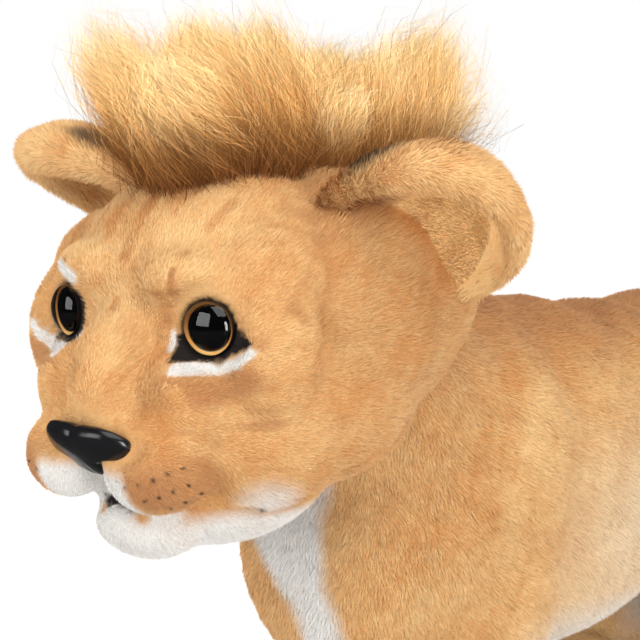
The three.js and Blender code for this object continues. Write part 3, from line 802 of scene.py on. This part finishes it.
def leg_zones(points):
    local = from_eyes(points)
    z = local[:, 2] - FLOOR
    inner = ease((52 - local[:, 0]) / 26)
    cream = np.maximum(0.75 * inner * ease((z - 20) / 40), 0.35 * ease((30 - z) / 20))
    # The whole leg asks for straw: painted light that lifts the legs out of the shadow of the body
    return np.stack([cream, np.zeros(len(z)), -0.2 * np.ones(len(z))], 1)


def tail_zones(points):
    return np.tile([0.0, 0.0, 0.25], (len(points), 1))


def in_ear(points):
    """Millimetres along the ear's root, outwards from it and towards its opening."""
    offset = from_eyes(points) - EAR_ROOT
    along, reach, depth = (offset @ np.array(axis) for axis in (root_line, ear_reach, ear_mouth))
    return along + EAR_SLANT * (reach - EAR_MIDDLE[1]), reach, depth


def ear_zones(points):
    along, reach, depth = in_ear(points)
    size = np.hypot((along - EAR_MIDDLE[0]) / EAR_HALF[0], (reach - EAR_MIDDLE[1]) / EAR_HALF[1])
    inside = ease((0.9 - np.hypot(size, depth / EAR_DEPTH)) / 0.14)
    back = ease((-6 - depth) / 10) * (1 - inside)
    # Painted shadow: a dark patch in the gap at the front of the cup, where the ear meets the head
    painted_gap_shadow = 0.75 * ball(np.stack([along, reach, depth], 1), (-57, 50, -14), (15, 24, 13), 0.9)
    # Painted shade: inside the cup the rust darkens towards its front end, in the crease behind the
    # rolled rim. Painted light: the rest of the inside asks for straw, to lift the shaded cup.
    crease_shade = ease((-16 - along) / 20)
    rust = 0.35 * back + inside * (0.9 * crease_shade - 0.5 * (1 - crease_shade)) - 0.12 * (1 - inside) * (1 - back)
    return np.stack([np.zeros(len(along)), painted_gap_shadow, rust], 1)


print("zones defined")

# %% [markdown]
# ## Growing the pile
#
# Pile is thousands of tapering hairs, and each is one slim triangle standing on the skin. They lie
# in the direction in which the real toy is brushed: back from the nose, and down the body. Their
# normals are taken from the skin, so that light falls on the pile as on a soft surface.


# %% Where hairs stand
def scatter(skin, count, rng, keep=None):
    """Random places over the skin, evenly by area, with the skin's normal at each."""
    mesh = skin.data
    mesh.calc_loop_triangles()
    corners = read_rows(mesh.loop_triangles, "vertices", np.int32)
    points, normals = read_points(skin), read_normals(skin)
    a, b, c = (points[corners[:, k]] for k in range(3))
    area = np.linalg.norm(np.cross(b - a, c - a), axis=1) / 2
    if keep is not None:
        area = area * keep((a + b + c) / 3)
    chosen = rng.choice(len(corners), count, p=area / area.sum())
    u, v = rng.random(count), rng.random(count)
    over = u + v > 1
    u[over], v[over] = 1 - u[over], 1 - v[over]
    shares = np.stack([1 - u - v, u, v], 1)[:, :, None]
    roots = (points[corners[chosen]] * shares).sum(1)
    up = (normals[corners[chosen]] * shares).sum(1)
    return roots, up / np.linalg.norm(up, axis=1)[:, None]


# %% Hairs as one mesh
def hair_mesh(name, ring, tips, normals, zones, tones):
    """ring holds each hair's left and right edges from root to near the tip: (hairs, steps, 2, 3)."""
    hairs, steps = ring.shape[:2]
    per_hair = steps * 2 + 1
    places = np.concatenate([ring.reshape(hairs, steps * 2, 3), tips[:, None]], 1)
    local_faces = []
    for step in range(steps - 1):
        low, next_low = step * 2, step * 2 + 2
        local_faces += [(low, low + 1, next_low + 1), (low, next_low + 1, next_low)]
    local_faces.append((steps * 2 - 2, steps * 2 - 1, steps * 2))
    local_faces = np.array(local_faces)
    faces = (np.arange(hairs)[:, None, None] * per_hair + local_faces[None]).reshape(-1, 3)
    mesh = bpy.data.meshes.new(name)
    mesh.vertices.add(hairs * per_hair)
    mesh.vertices.foreach_set("co", places.ravel())
    mesh.loops.add(faces.size)
    mesh.loops.foreach_set("vertex_index", faces.ravel())
    mesh.polygons.add(len(faces))
    mesh.polygons.foreach_set("loop_start", np.arange(len(faces)) * 3)
    mesh.update(calc_edges=True)
    mesh.polygons.foreach_set("use_smooth", np.ones(len(faces), bool))

    heights = np.append(np.repeat(np.arange(steps) / steps, 2), 1.0)
    strand = np.zeros((hairs, per_hair, 3))
    strand[:, :, 0] = heights
    strand[:, :, 1] = tones[:, None]
    store(mesh, "strand", strand)
    store(mesh, "zones", np.repeat(zones, per_hair, axis=0))

    side = math.ceil(math.sqrt(hairs))
    cell = np.stack([np.arange(hairs) % side, np.arange(hairs) // side], 1)[:, None]
    across = np.append(np.tile([0.12, 0.88], steps), 0.5)
    within = np.stack([across, 0.1 + 0.8 * heights], 1)[None]
    map_points = ((cell + within) / side).reshape(-1, 2)
    uv = mesh.uv_layers.new(name="OFBake")
    uv.data.foreach_set("uv", map_points[faces.ravel()].astype(np.float32).ravel())
    mesh.normals_split_custom_set_from_vertices(np.repeat(normals, per_hair, axis=0))
    piece = bpy.data.objects.new(name, mesh)
    scene.collection.objects.link(piece)
    return piece


def short_pile(name, skin, count, length, flow, zones, seed, width=0.55, lift=32, keep=None):
    """Straight hairs of one triangle each. length and flow are functions of the roots."""
    rng = np.random.default_rng(seed)
    roots, up = scatter(skin, count, rng, keep)
    way = flow(roots)
    way = unit(way - (way * up).sum(1)[:, None] * up)
    swing = 0.28 * ripple(roots, 30, seed + 1) + 0.16 * rng.normal(size=count)
    way = unit(way * np.cos(swing)[:, None] + np.cross(up, way) * np.sin(swing)[:, None])
    rise = np.radians(lift + 8 * ripple(roots, 14, seed + 2) + 7 * rng.normal(size=count))
    along = way * np.cos(rise)[:, None] + up * np.sin(rise)[:, None]
    across = unit(np.cross(along, up))
    roll = rng.normal(size=count) * 0.35
    across = across * np.cos(roll)[:, None] + np.cross(along, across) * np.sin(roll)[:, None]
    size = length(roots) * rng.uniform(0.75, 1.2, count) * MM
    base = roots - up * 0.7 * MM
    half = across * (width * rng.uniform(0.7, 1.3, count) * MM / 2)[:, None]
    tips = base + along * size[:, None]
    ring = np.stack([base - half, base + half], 1)[:, None]
    normals = unit(up + 0.22 * rng.normal(size=(count, 3)) + 0.25 * along)
    tones = np.clip(0.5 + 0.17 * rng.normal(size=count) + 0.12 * ripple(roots, 9, seed + 3), 0, 1)
    piece = hair_mesh(name, ring, tips, normals, zones(roots + along * size[:, None] * 0.6), tones)
    print(name, count, "hairs")
    return piece


# %% [markdown]
# ## The plush itself
#
# Pile has no single colour: golden tan with lighter tips, patches where it was brushed the other
# way, and the sprayed zones over it. It scatters light between its hairs, which a little sheen and
# a high roughness stand for.

# %% Coat finish
GOLD = (0.74, 0.33, 0.10)
STRAW = (0.97, 0.64, 0.29)
CREAM = (0.93, 0.90, 0.85)
RUST = (0.46, 0.16, 0.05)
DARK = (0.018, 0.012, 0.010)


def coat(name, root_shade, tip_shade, glow=0.0):
    """The glow is painted light where the zones ask for straw, in place of light through thin cloth
    and to lift the shaded inside of the ears.
    """
    paint = new_paint(name)
    cream, dark, rust = paint.attribute("zones")
    height, tone, _ = paint.attribute("strand")
    brushed = (paint.noise(26, 3.0) - 0.5) * 1.5
    grain = (paint.noise(420) - 0.5) * 0.5
    paler = (0.0 - rust).clip()
    share = (0.42 + brushed + (tone - 0.5) * 0.9 + grain + paler).clip()
    colour = paint.mix(share, GOLD, STRAW)
    colour = paint.mix((rust * (0.75 + brushed)).clip(), colour, RUST)
    colour = paint.mix((cream * (1.0 + brushed * 0.4)).clip(), colour, CREAM)
    colour = paint.mix((dark * 1.1).clip(), colour, DARK)
    shade = (root_shade + (tip_shade - root_shade) * height).clip()
    shaded = paint.node("ShaderNodeVectorMath", {"operation": "SCALE"}, {0: colour, "Scale": shade})
    paint.set(
        Base_Color=shaded.outputs[0], Roughness=0.78, Specular_IOR_Level=0.25,
        Sheen_Weight=0.03, Sheen_Roughness=0.5,
        Emission_Color=colour, Emission_Strength=paler * glow,
    )
    return paint


# Both pile coats are painted darker towards the hairs' roots, and the backing darker still: painted shade
# deep in the pile
pile_coat = coat("short_pile", 0.72, 1.0).material
# The ears' pile glows where it asks for straw: painted light inside the shaded cups
ear_coat = coat("ear_pile", 0.72, 1.0, glow=0.55).material
backing = coat("pile_backing", 0.62, 0.62)
backing.bump(backing.noise(900), 0.5, 0.6 * MM)
print("coat finishes")


# %% Paint the skins
def paint_skin(skin, zones, material):
    points = read_points(skin)
    store(skin.data, "zones", zones(points))
    store(skin.data, "strand", np.tile([0.0, 0.5, 0.0], (len(points), 1)))
    coated(material, skin)


for skin, zones in (
    [(head_skin, head_zones), (body_skin, body_zones), (tail_skin, tail_zones)]
    + [(leg, leg_zones) for leg in legs.values()]
    + [(ear, ear_zones) for ear in ears.values()]
):
    paint_skin(skin, zones, backing.material)
print("skins painted")


# %% Which way the pile lies
def down_the_body(points):
    local = from_middle(points)
    way = np.tile([0.0, 0.75, -0.75], (len(points), 1))
    neck = ease((260 - local[:, 1]) / 100)[:, None]
    return way * (1 - neck) + np.array([0.0, 0.15, -1.0]) * neck


def down_the_leg(points):
    local = from_middle(points)
    toe = ease((40 - (local[:, 2] - FLOOR)) / 30)[:, None]
    return np.array([0.0, 0.12, -1.0]) * (1 - toe) + np.array([0.0, -1.0, -0.35]) * toe


def along_tail(points):
    local = from_middle(points)
    hang = ease((local[:, 1] - 715) / 40)[:, None]
    return np.array([0.0, 1.0, 0.0]) * (1 - hang) + np.array([0.0, 0.0, -1.0]) * hang


def along_ear(points):
    """Round the rolled rim from its front end, and straight outwards inside the cup."""
    along, reach, _ = in_ear(points)
    side, out = (along - EAR_MIDDLE[0]) / EAR_HALF[0], (reach - EAR_MIDDLE[1]) / EAR_HALF[1]
    size = np.maximum(np.hypot(side, out), 0.2)[:, None]
    round_rim = (out[:, None] * np.array(root_line) - side[:, None] * np.array(ear_reach)) / size
    share = ease((size - 0.62) / 0.16)
    way = np.array(ear_reach) * (1.1 - share) + round_rim * share
    way[:, 0] *= np.sign(points[:, 0])
    return way


# %% How long it is
def face_length(points):
    local = from_eyes(points)
    muzzle = ball(local, (0, -30, -80), (52, 44, 44), 0.8)
    side, up, out = on_eye_plane(local)
    lid = ease((30 - np.hypot(side, up)) / 12) * (np.abs(out) < 22)
    jaw = ease((local[:, 1] - 20) / 120)
    return 4.0 + 1.6 * jaw - 1.4 * muzzle - 1.8 * lid


def not_over_eyes(points):
    local = from_eyes(points)
    side, up, out = on_eye_plane(local)
    covered = (np.hypot(side, up) < 15.5) & (np.abs(out) < 22)
    nose = ball(local, (0, -38, -66), (20, 16, 14), 0.1) > 0.5
    return ~covered & ~nose


def slab(near, far):
    """Keeps the hairs between two distances behind the eyes, in millimetres."""
    def keep(points):
        back = from_middle(points)[:, 1]
        return (back >= near) & (back < far)
    return keep


def even(length):
    return lambda points: np.full(len(points), length)


HAIRS = 190_000
head_piles = [
    short_pile(
        "face_pile", head_skin, HAIRS, face_length, away_from_nose, head_zones, 11,
        keep=lambda points: not_over_eyes(points) * slab(-999, 72)(points)),
    short_pile(
        "head_back_pile", head_skin, HAIRS, face_length, away_from_nose, head_zones, 12,
        width=0.65, keep=slab(72, 999)),
]
torso_piles = []
for part, near, far, share in (
    ("front", -999, 290, 0.9), ("middle", 290, 470, 0.75), ("rear", 470, 999, 0.4),
):
    torso_piles.append(short_pile(
        f"body_{part}_pile", body_skin, int(HAIRS * share), even(5.4), down_the_body, body_zones,
        20 + len(part), width=0.75, keep=slab(near, far)))
for index, (name, leg) in enumerate(legs.items()):
    torso_piles.append(short_pile(
        f"{name}_leg_pile", leg, HAIRS // 5, even(5.0), down_the_leg, leg_zones, 40 + index, width=0.8))
tail_pile = short_pile(
    "tail_pile", tail_skin, HAIRS // 10, even(5.5), along_tail, tail_zones, 50, width=0.8)
ear_piles = {}
for index, (side, ear) in enumerate(ears.items()):
    ear_piles[side] = short_pile(
        f"ear_{side}_pile", ear, HAIRS // 4, even(5.5), along_ear, ear_zones, 60 + index,
        width=0.7, lift=38)
coated(pile_coat, *head_piles, *torso_piles, tail_pile)
coated(ear_coat, *ear_piles.values())

# %% [markdown]
# ## The crest of mane and the tail's tuft
#
# The mane is long pile cloth: fine hairs that stand in locks, straw at their tips and brown at the
# roots. A lock's hairs start apart and lean to a shared end, and a few stray hairs pass them.


# %% Long hairs in locks
def long_pile(name, roots, up, ends, bends, steps, width, seed, tones):
    """Curled hairs from their roots to their ends. A bend is a share of the hair's length."""
    rng = np.random.default_rng(seed)
    count = len(roots)
    reach = np.linalg.norm(ends - roots, axis=1)[:, None]
    roots = roots - up * 2 * MM
    middle = roots + (0.42 * unit(ends - roots) + 0.25 * up + bends) * reach
    across = unit(np.cross(ends - roots, rng.normal(size=(count, 3))))
    curl = unit(np.cross(ends - roots, bends)) * np.linalg.norm(bends, axis=1)[:, None] * 0.35 * reach
    ring = []
    for step in range(steps):
        t = step / steps
        place = (1 - t) ** 2 * roots + 2 * t * (1 - t) * middle + t * t * ends
        place = place + curl * math.sin(6.28 * t)
        half = across * (width * (1 - 0.55 * t) * MM / 2)
        ring.append(np.stack([place - half, place + half], 1))
    ring = np.stack(ring, 1)
    outward = unit(ends - ends.mean(0))
    jitter = 0.12 * rng.normal(size=(count, 3))
    normals = unit(outward * 0.5 + up * 0.4 + np.array([0.25, -0.4, 0.25]) + jitter)
    return hair_mesh(name, ring, ends, normals, np.zeros((count, 3)), tones)


def mane_zone(points):
    local = from_eyes(points)
    return ball(local, (0, 126, 84), (40, 104, 62), 0.12) * (local[:, 2] > 36)


# Each tuft: where its middle stands (side, back) and where its end points (side, back, up)
MANE_TUFTS = [
    (-24, 40, -42, 8, 162), (12, 34, 6, 12, 140), (0, 72, -10, 56, 162), (24, 92, 12, 92, 164),
    (-24, 106, -34, 108, 150), (6, 140, 6, 158, 140), (26, 146, 34, 190, 146), (20, 176, 40, 244, 164),
    (-20, 168, -26, 214, 144), (28, 194, 54, 286, 122), (38, 176, 66, 274, 90), (-28, 206, -48, 276, 116),
    (-34, 72, -60, 66, 136), (36, 116, 50, 138, 122),
]


def mane_aim(roots):
    """Where the hairs from each root point: the ends of the nearest tufts, shared out by distance."""
    place = from_middle(roots)
    tufts = np.array(MANE_TUFTS, float)
    gap = np.linalg.norm(place[:, None, :2] - tufts[None, :, :2], axis=2)
    share = np.exp(-(gap / 7.5) ** 2) + 1e-12
    share /= share.sum(1)[:, None]
    return np.array(between) + share @ tufts[:, 2:] * MM


def long_locks(name, keep, locks, per_lock, width, seed):
    rng = np.random.default_rng(seed)
    lock_roots, lock_up = scatter(head_skin, locks, rng, keep)
    lock_aim = mane_aim(lock_roots) + rng.uniform(-9, 9, (locks, 3)) * MM - lock_roots
    lock_aim *= rng.uniform(0.8, 1.03, locks)[:, None]
    lock_bend = rng.uniform(-0.28, 0.28, (locks, 3))
    count = locks * per_lock
    up = np.repeat(lock_up, per_lock, axis=0)
    spread = rng.normal(size=(count, 3)) * 5 * MM
    spread -= up * (spread * up).sum(1)[:, None]
    grown = (1.02 - 0.6 * rng.random(count) ** 1.3)[:, None]
    middle = np.repeat(lock_roots, per_lock, axis=0)
    ends = middle + np.repeat(lock_aim, per_lock, axis=0) * grown
    ends += spread * (1.3 - grown) + rng.uniform(-6, 6, (count, 3)) * MM
    bends = np.repeat(lock_bend, per_lock, axis=0) + rng.uniform(-0.22, 0.22, (count, 3))
    tone = np.repeat(rng.normal(0.5, 0.1, locks), per_lock) + 0.14 * rng.normal(size=count)
    return long_pile(name, middle + spread, up, ends, bends, 4, width, seed + 1, np.clip(tone, 0, 1))


LOCKS, PER_LOCK = 860, 30
MANE_PARTS = (("front", -99, 66), ("crown", 66, 108), ("nape", 108, 154), ("back", 154, 999))
mane_parts = []
for index, (part, near, far) in enumerate(MANE_PARTS):
    mane_parts.append(long_locks(
        f"mane_{part}_locks", lambda points: mane_zone(points) * slab(near, far)(points),
        LOCKS, PER_LOCK, 0.27, 80 + index * 3))
print("mane", [len(part.data.polygons) for part in mane_parts], "faces")

# %% Stray guard hairs, darker towards their ends
STRAYS = 800
rng = np.random.default_rng(77)
stray_roots, stray_up = scatter(head_skin, STRAYS, rng, mane_zone)
stray_way = (mane_aim(stray_roots) - stray_roots) * rng.uniform(0.8, 1.1, STRAYS)[:, None]
stray_ends = stray_roots + stray_way + rng.uniform(-14, 14, (STRAYS, 3)) * MM
stray_bends = rng.uniform(-0.2, 0.2, (STRAYS, 3))
strays = long_pile(
    "mane_strays", stray_roots, stray_up, stray_ends, stray_bends, 6, 0.3, 79, rng.uniform(0, 1, STRAYS))

# %% Tuft at the end of the tail
TUFT_HAIRS = 5000
tuft_out = unit(rng.normal(size=(TUFT_HAIRS, 3)) * np.array([1, 1, 0.5]))
tuft_middle = np.array(spot(0, 770, FLOOR + 122))
tuft_roots = tuft_middle + tuft_out * rng.uniform(3, 9, TUFT_HAIRS)[:, None] * MM
tuft_roots[:, 2] += rng.uniform(-22, 12, TUFT_HAIRS) * MM
tuft_way = unit(tuft_out * np.array([0.35, 0.35, 0.1]) + np.array([0, 0.05, -1.0]))
tuft_ends = tuft_roots + tuft_way * rng.uniform(26, 54, TUFT_HAIRS)[:, None] * MM
tuft_bends = 0.06 * rng.normal(size=(TUFT_HAIRS, 3))
tuft_tones = rng.uniform(0.2, 0.6, TUFT_HAIRS)
tuft = long_pile("tail_tuft_locks", tuft_roots, tuft_out, tuft_ends, tuft_bends, 4, 0.8, 80, tuft_tones)


# %% Long pile finishes
def long_coat(name, root_colour, middle_colour, tip_colour, dark_tip, glow=0.0, shade_below=0.0):
    """The glow stands for light that scatters from hair to hair, the shade for depth near the skin."""
    paint = new_paint(name)
    height, tone, _ = paint.attribute("strand")
    ramp = paint.node("ShaderNodeValToRGB", {"stops": [
        (0.06, root_colour), (0.4, middle_colour), (0.8, tip_colour), (1.0, dark_tip),
    ]}, {0: height})
    paleness = ((tone - 0.5) * 1.0 + (paint.noise(30, 3.0) - 0.5) * 1.6 + 0.35).clip()
    pale = paint.mix(paleness, ramp.outputs[0], (1.0, 0.80, 0.46))
    colour = paint.mix((height * 1.7 - 0.55).clip(), ramp.outputs[0], pale)
    colour = paint.mix(((shade_below - paint.height()) * 36).clip() * 0.7, colour, root_colour)
    paint.set(
        Base_Color=colour, Roughness=0.6, Specular_IOR_Level=0.12,
        Emission_Color=colour, Emission_Strength=glow,
    )
    return paint.material


mane_coat = long_coat(
    "mane_pile", (0.16, 0.055, 0.014), (0.66, 0.30, 0.078), (1.0, 0.66, 0.27), (1.0, 0.78, 0.41),
    glow=0.42, shade_below=0.514)
stray_coat = long_coat(
    "mane_stray", (0.30, 0.17, 0.07), (0.5, 0.3, 0.13), (0.30, 0.16, 0.07), (0.06, 0.035, 0.03))
tuft_coat = long_coat(
    "tuft_pile", (0.10, 0.05, 0.025), (0.20, 0.10, 0.045), (0.26, 0.14, 0.06), (0.12, 0.06, 0.03))
coated(mane_coat, *mane_parts)
coated(stray_coat, strays)
coated(tuft_coat, tuft)
print("long pile coloured")

# %% [markdown]
# ## Eyes and nose
#
# The eyes are moulded: a clear dome over a black pupil with an amber ring. The nose is one piece
# of glossy black plastic. Both are hard, so they are modelled smooth and given a polish.


# %% Eyes
EYE_RADIUS = 15
DOME_RISE = 9.6


def settle(piece, side, name):
    """Moves a piece made round the origin to an eye's place, facing as the eye does."""
    matrix = Vector((0, 0, 1)).rotation_difference(eye_fronts[side]).to_matrix().to_4x4()
    matrix.translation = eye_backs[side]
    piece.data.transform(matrix)
    piece.name = name
    select_only(piece)
    bpy.ops.object.shade_smooth_by_angle(angle=math.radians(35))
    return piece


def eye_dome(side):
    """Half a sphere, flattened, with its flat back painted and a dark edge."""
    dome = sphere(64, 32, radius=EYE_RADIUS * MM)
    edit(bpy.ops.mesh.bisect, plane_co=(0, 0, 0), plane_no=(0, 0, 1), clear_inner=True, use_fill=True)
    edit(bpy.ops.transform.resize, value=(1, 1, DOME_RISE / EYE_RADIUS), center_override=(0, 0, 0))
    for finish in (clear, iris, rim):
        coated(finish.material, dome)
    for face in dome.data.polygons:
        out = math.hypot(face.center.x, face.center.y) / MM
        face.material_index = 1 if face.normal.z < -0.9 else 2 if out > 14.3 else 0
    return settle(dome, side, f"eye_{side}_dome")


def eye_disc(side):
    """The dark disc behind the dome."""
    disc = add(
        bpy.ops.mesh.primitive_cylinder_add, vertices=64, radius=EYE_RADIUS * MM, depth=2.4 * MM,
        location=(0, 0, -1.5 * MM))
    bpy.ops.object.transform_apply()
    apply_modifier(disc, "BEVEL", width=0.5 * MM, segments=3)
    coated(iris.material, disc)
    return settle(disc, side, f"eye_{side}_iris")


clear = new_paint("clear_dome")
clear.set(
    Base_Color=(1, 1, 1), Roughness=clear.noise(200) * 0.02 + 0.01, Transmission_Weight=1.0, IOR=1.06,
    Coat_Weight=1.0, Coat_Roughness=0.02)

rim = new_paint("eye_rim")
rim.set(Base_Color=(0.01, 0.008, 0.007), Roughness=rim.noise(300) * 0.1 + 0.25)

# The ring is drawn round the left eye's place, with the right half of space folded onto the left
iris = new_paint("iris_and_pupil")
folded = iris.node("ShaderNodeVectorMath", {"operation": "ABSOLUTE"}, {0: iris.place()}).outputs[0]
offset = iris.node("ShaderNodeVectorMath", {"operation": "SUBTRACT"}, {
    0: folded, 1: tuple(abs(part) for part in eye_backs["left"]),
}).outputs[0]
length = iris.node("ShaderNodeVectorMath", {"operation": "LENGTH"}, {0: offset}).outputs["Value"]
radius = iris.level(length) * 1000
upward = iris.level(iris.node("ShaderNodeSeparateXYZ", values={0: offset}).outputs[2]) * 1000
# The ring is amber, painted bright gold at its bottom and dark brown at its top: painted light, for the
# caustic that the clear dome throws on its lower edge
ring_gold_with_painted_caustic = iris.node("ShaderNodeValToRGB", {"stops": [
    (0.0, (0.95, 0.55, 0.17)), (0.3, (0.62, 0.26, 0.06)), (0.7, (0.22, 0.08, 0.02)),
]}, {0: ((upward + 14) / 28).clip()}).outputs[0]
ring = ((radius - 12.0) / 0.7).clip() * ((14.4 - radius) / 0.3).clip()
iris.set(Base_Color=iris.mix(ring, (0.0, 0.0, 0.0), ring_gold_with_painted_caustic), Roughness=0.6, Specular_IOR_Level=0.0)

eye_pieces = []
for side in SIDES:
    dome, disc = eye_dome(side), eye_disc(side)
    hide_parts(f"eye_{side}_lens")
    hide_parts(f"eye_{side}_cup")
    eye_pieces += [dome, disc]
print("eyes", len(eye_pieces))

# %% Nose
NOSE_OUTLINE = [
    (0, -21), (7, -19), (15, -15), (22, -11.5), (29, -7.5),
    (31.5, -2.5), (29, 6), (22, 13.5), (11, 17), (0, 16),
]
NOSE_TILT = math.radians(42)


def nose_edge(angles):
    """How far the nose reaches from its middle at each angle, the same on the left and right."""
    half = [(math.atan2(up, side), math.hypot(side, up)) for side, up in NOSE_OUTLINE]
    folded = np.arctan2(np.sin(angles), np.abs(np.cos(angles)))
    return np.interp(folded, [a for a, _ in half], [r for _, r in half])


nose_piece = sphere(96, 48)
nose_piece.name = "nose_moulding"
points = read_points(nose_piece)
out_share = np.hypot(points[:, 0], points[:, 1])
angle = np.arctan2(points[:, 1], points[:, 0])
reach = nose_edge(angle) * out_share ** 0.75
side, up = reach * np.cos(angle), reach * np.sin(angle)
bulge = np.sign(points[:, 2]) * np.abs(points[:, 2]) ** 0.8
front = bulge * np.where(bulge > 0, 8.5, 6) - 3.6 * (side / 28) ** 2
flat = np.stack([np.abs(side), up], 1)
nostril = ball(flat, (16, -6), (5, 3.6), 1.3) + 0.6 * ball(flat, (21, -7.5), (4, 2.6), 1.3)
groove = np.exp(-(side / 1.6) ** 2) * ease((-2 - up) / 12)
front -= (bulge > 0) * (4.6 * nostril + 0.6 * groove)
tilt = (math.cos(NOSE_TILT), math.sin(NOSE_TILT))
shaped = np.stack([side, -front * tilt[0] - up * tilt[1], up * tilt[0] - front * tilt[1]], 1)
write_points(nose_piece, shaped * MM + np.array(spot(0, -37, -64.5)))
apply_modifier(nose_piece, "SMOOTH", factor=0.5, iterations=3)
smooth_shaded(nose_piece)
black = new_paint("nose_plastic")
black.set(Base_Color=(0.006, 0.006, 0.007), Roughness=black.noise(160) * 0.1 + 0.16)
black.bump(black.noise(220), 0.05, 0.4 * MM)
coated(black.material, nose_piece)
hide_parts("nose")

# %% [markdown]
# ## What stays inside
#
# The wires, clips and washers are hidden in the filling, and their CAD shapes are right as they
# are. They get a drawn steel and a plain moulded finish.

# %% Finishes of the hidden parts
steel = new_paint("drawn_steel")
steel.set(Base_Color=(0.55, 0.55, 0.56), Metallic=1.0, Roughness=steel.noise(300) * 0.2 + 0.28)
plain = new_paint("moulded_white")
plain.set(Base_Color=plain.mix(plain.noise(60), (0.80, 0.80, 0.78), (0.86, 0.86, 0.84)), Roughness=0.5)
for name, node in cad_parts.items():
    node.data.materials.clear()
    coated((steel if name.endswith("_wire") else plain).material, node)
print("hidden parts finished")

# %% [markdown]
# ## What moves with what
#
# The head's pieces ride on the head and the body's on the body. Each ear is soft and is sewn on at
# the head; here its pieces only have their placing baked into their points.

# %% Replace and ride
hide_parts("head_skin", "head_stuffing")
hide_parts("torso_skin", "torso_stuffing")
for name, leg in legs.items():
    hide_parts(f"{name}_leg_skin", f"{name}_leg_stuffing", f"{name}_sole")
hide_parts("tail_skin")
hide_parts("tail_tuft")
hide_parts("mane_pile", "mane_backing")
for part in mane_parts[1:]:
    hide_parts("mane_pile")
for side, ear in ears.items():
    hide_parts(f"ear_{side}_back", f"ear_{side}_lining")

for piece in [head_skin, strays, nose_piece] + mane_parts + eye_pieces + head_piles:
    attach(piece, "head")
for piece in [body_skin, *legs.values(), *torso_piles]:
    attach(piece, "torso")
for piece in (tail_skin, tail_pile, tuft):
    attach(piece, "tail")
near = ear_root - ear_reach * 14 * MM
far = ear_root + ear_reach * 22 * MM
for side, sign in SIDES.items():
    for piece in (ears[side], ear_piles[side]):
        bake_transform(piece)
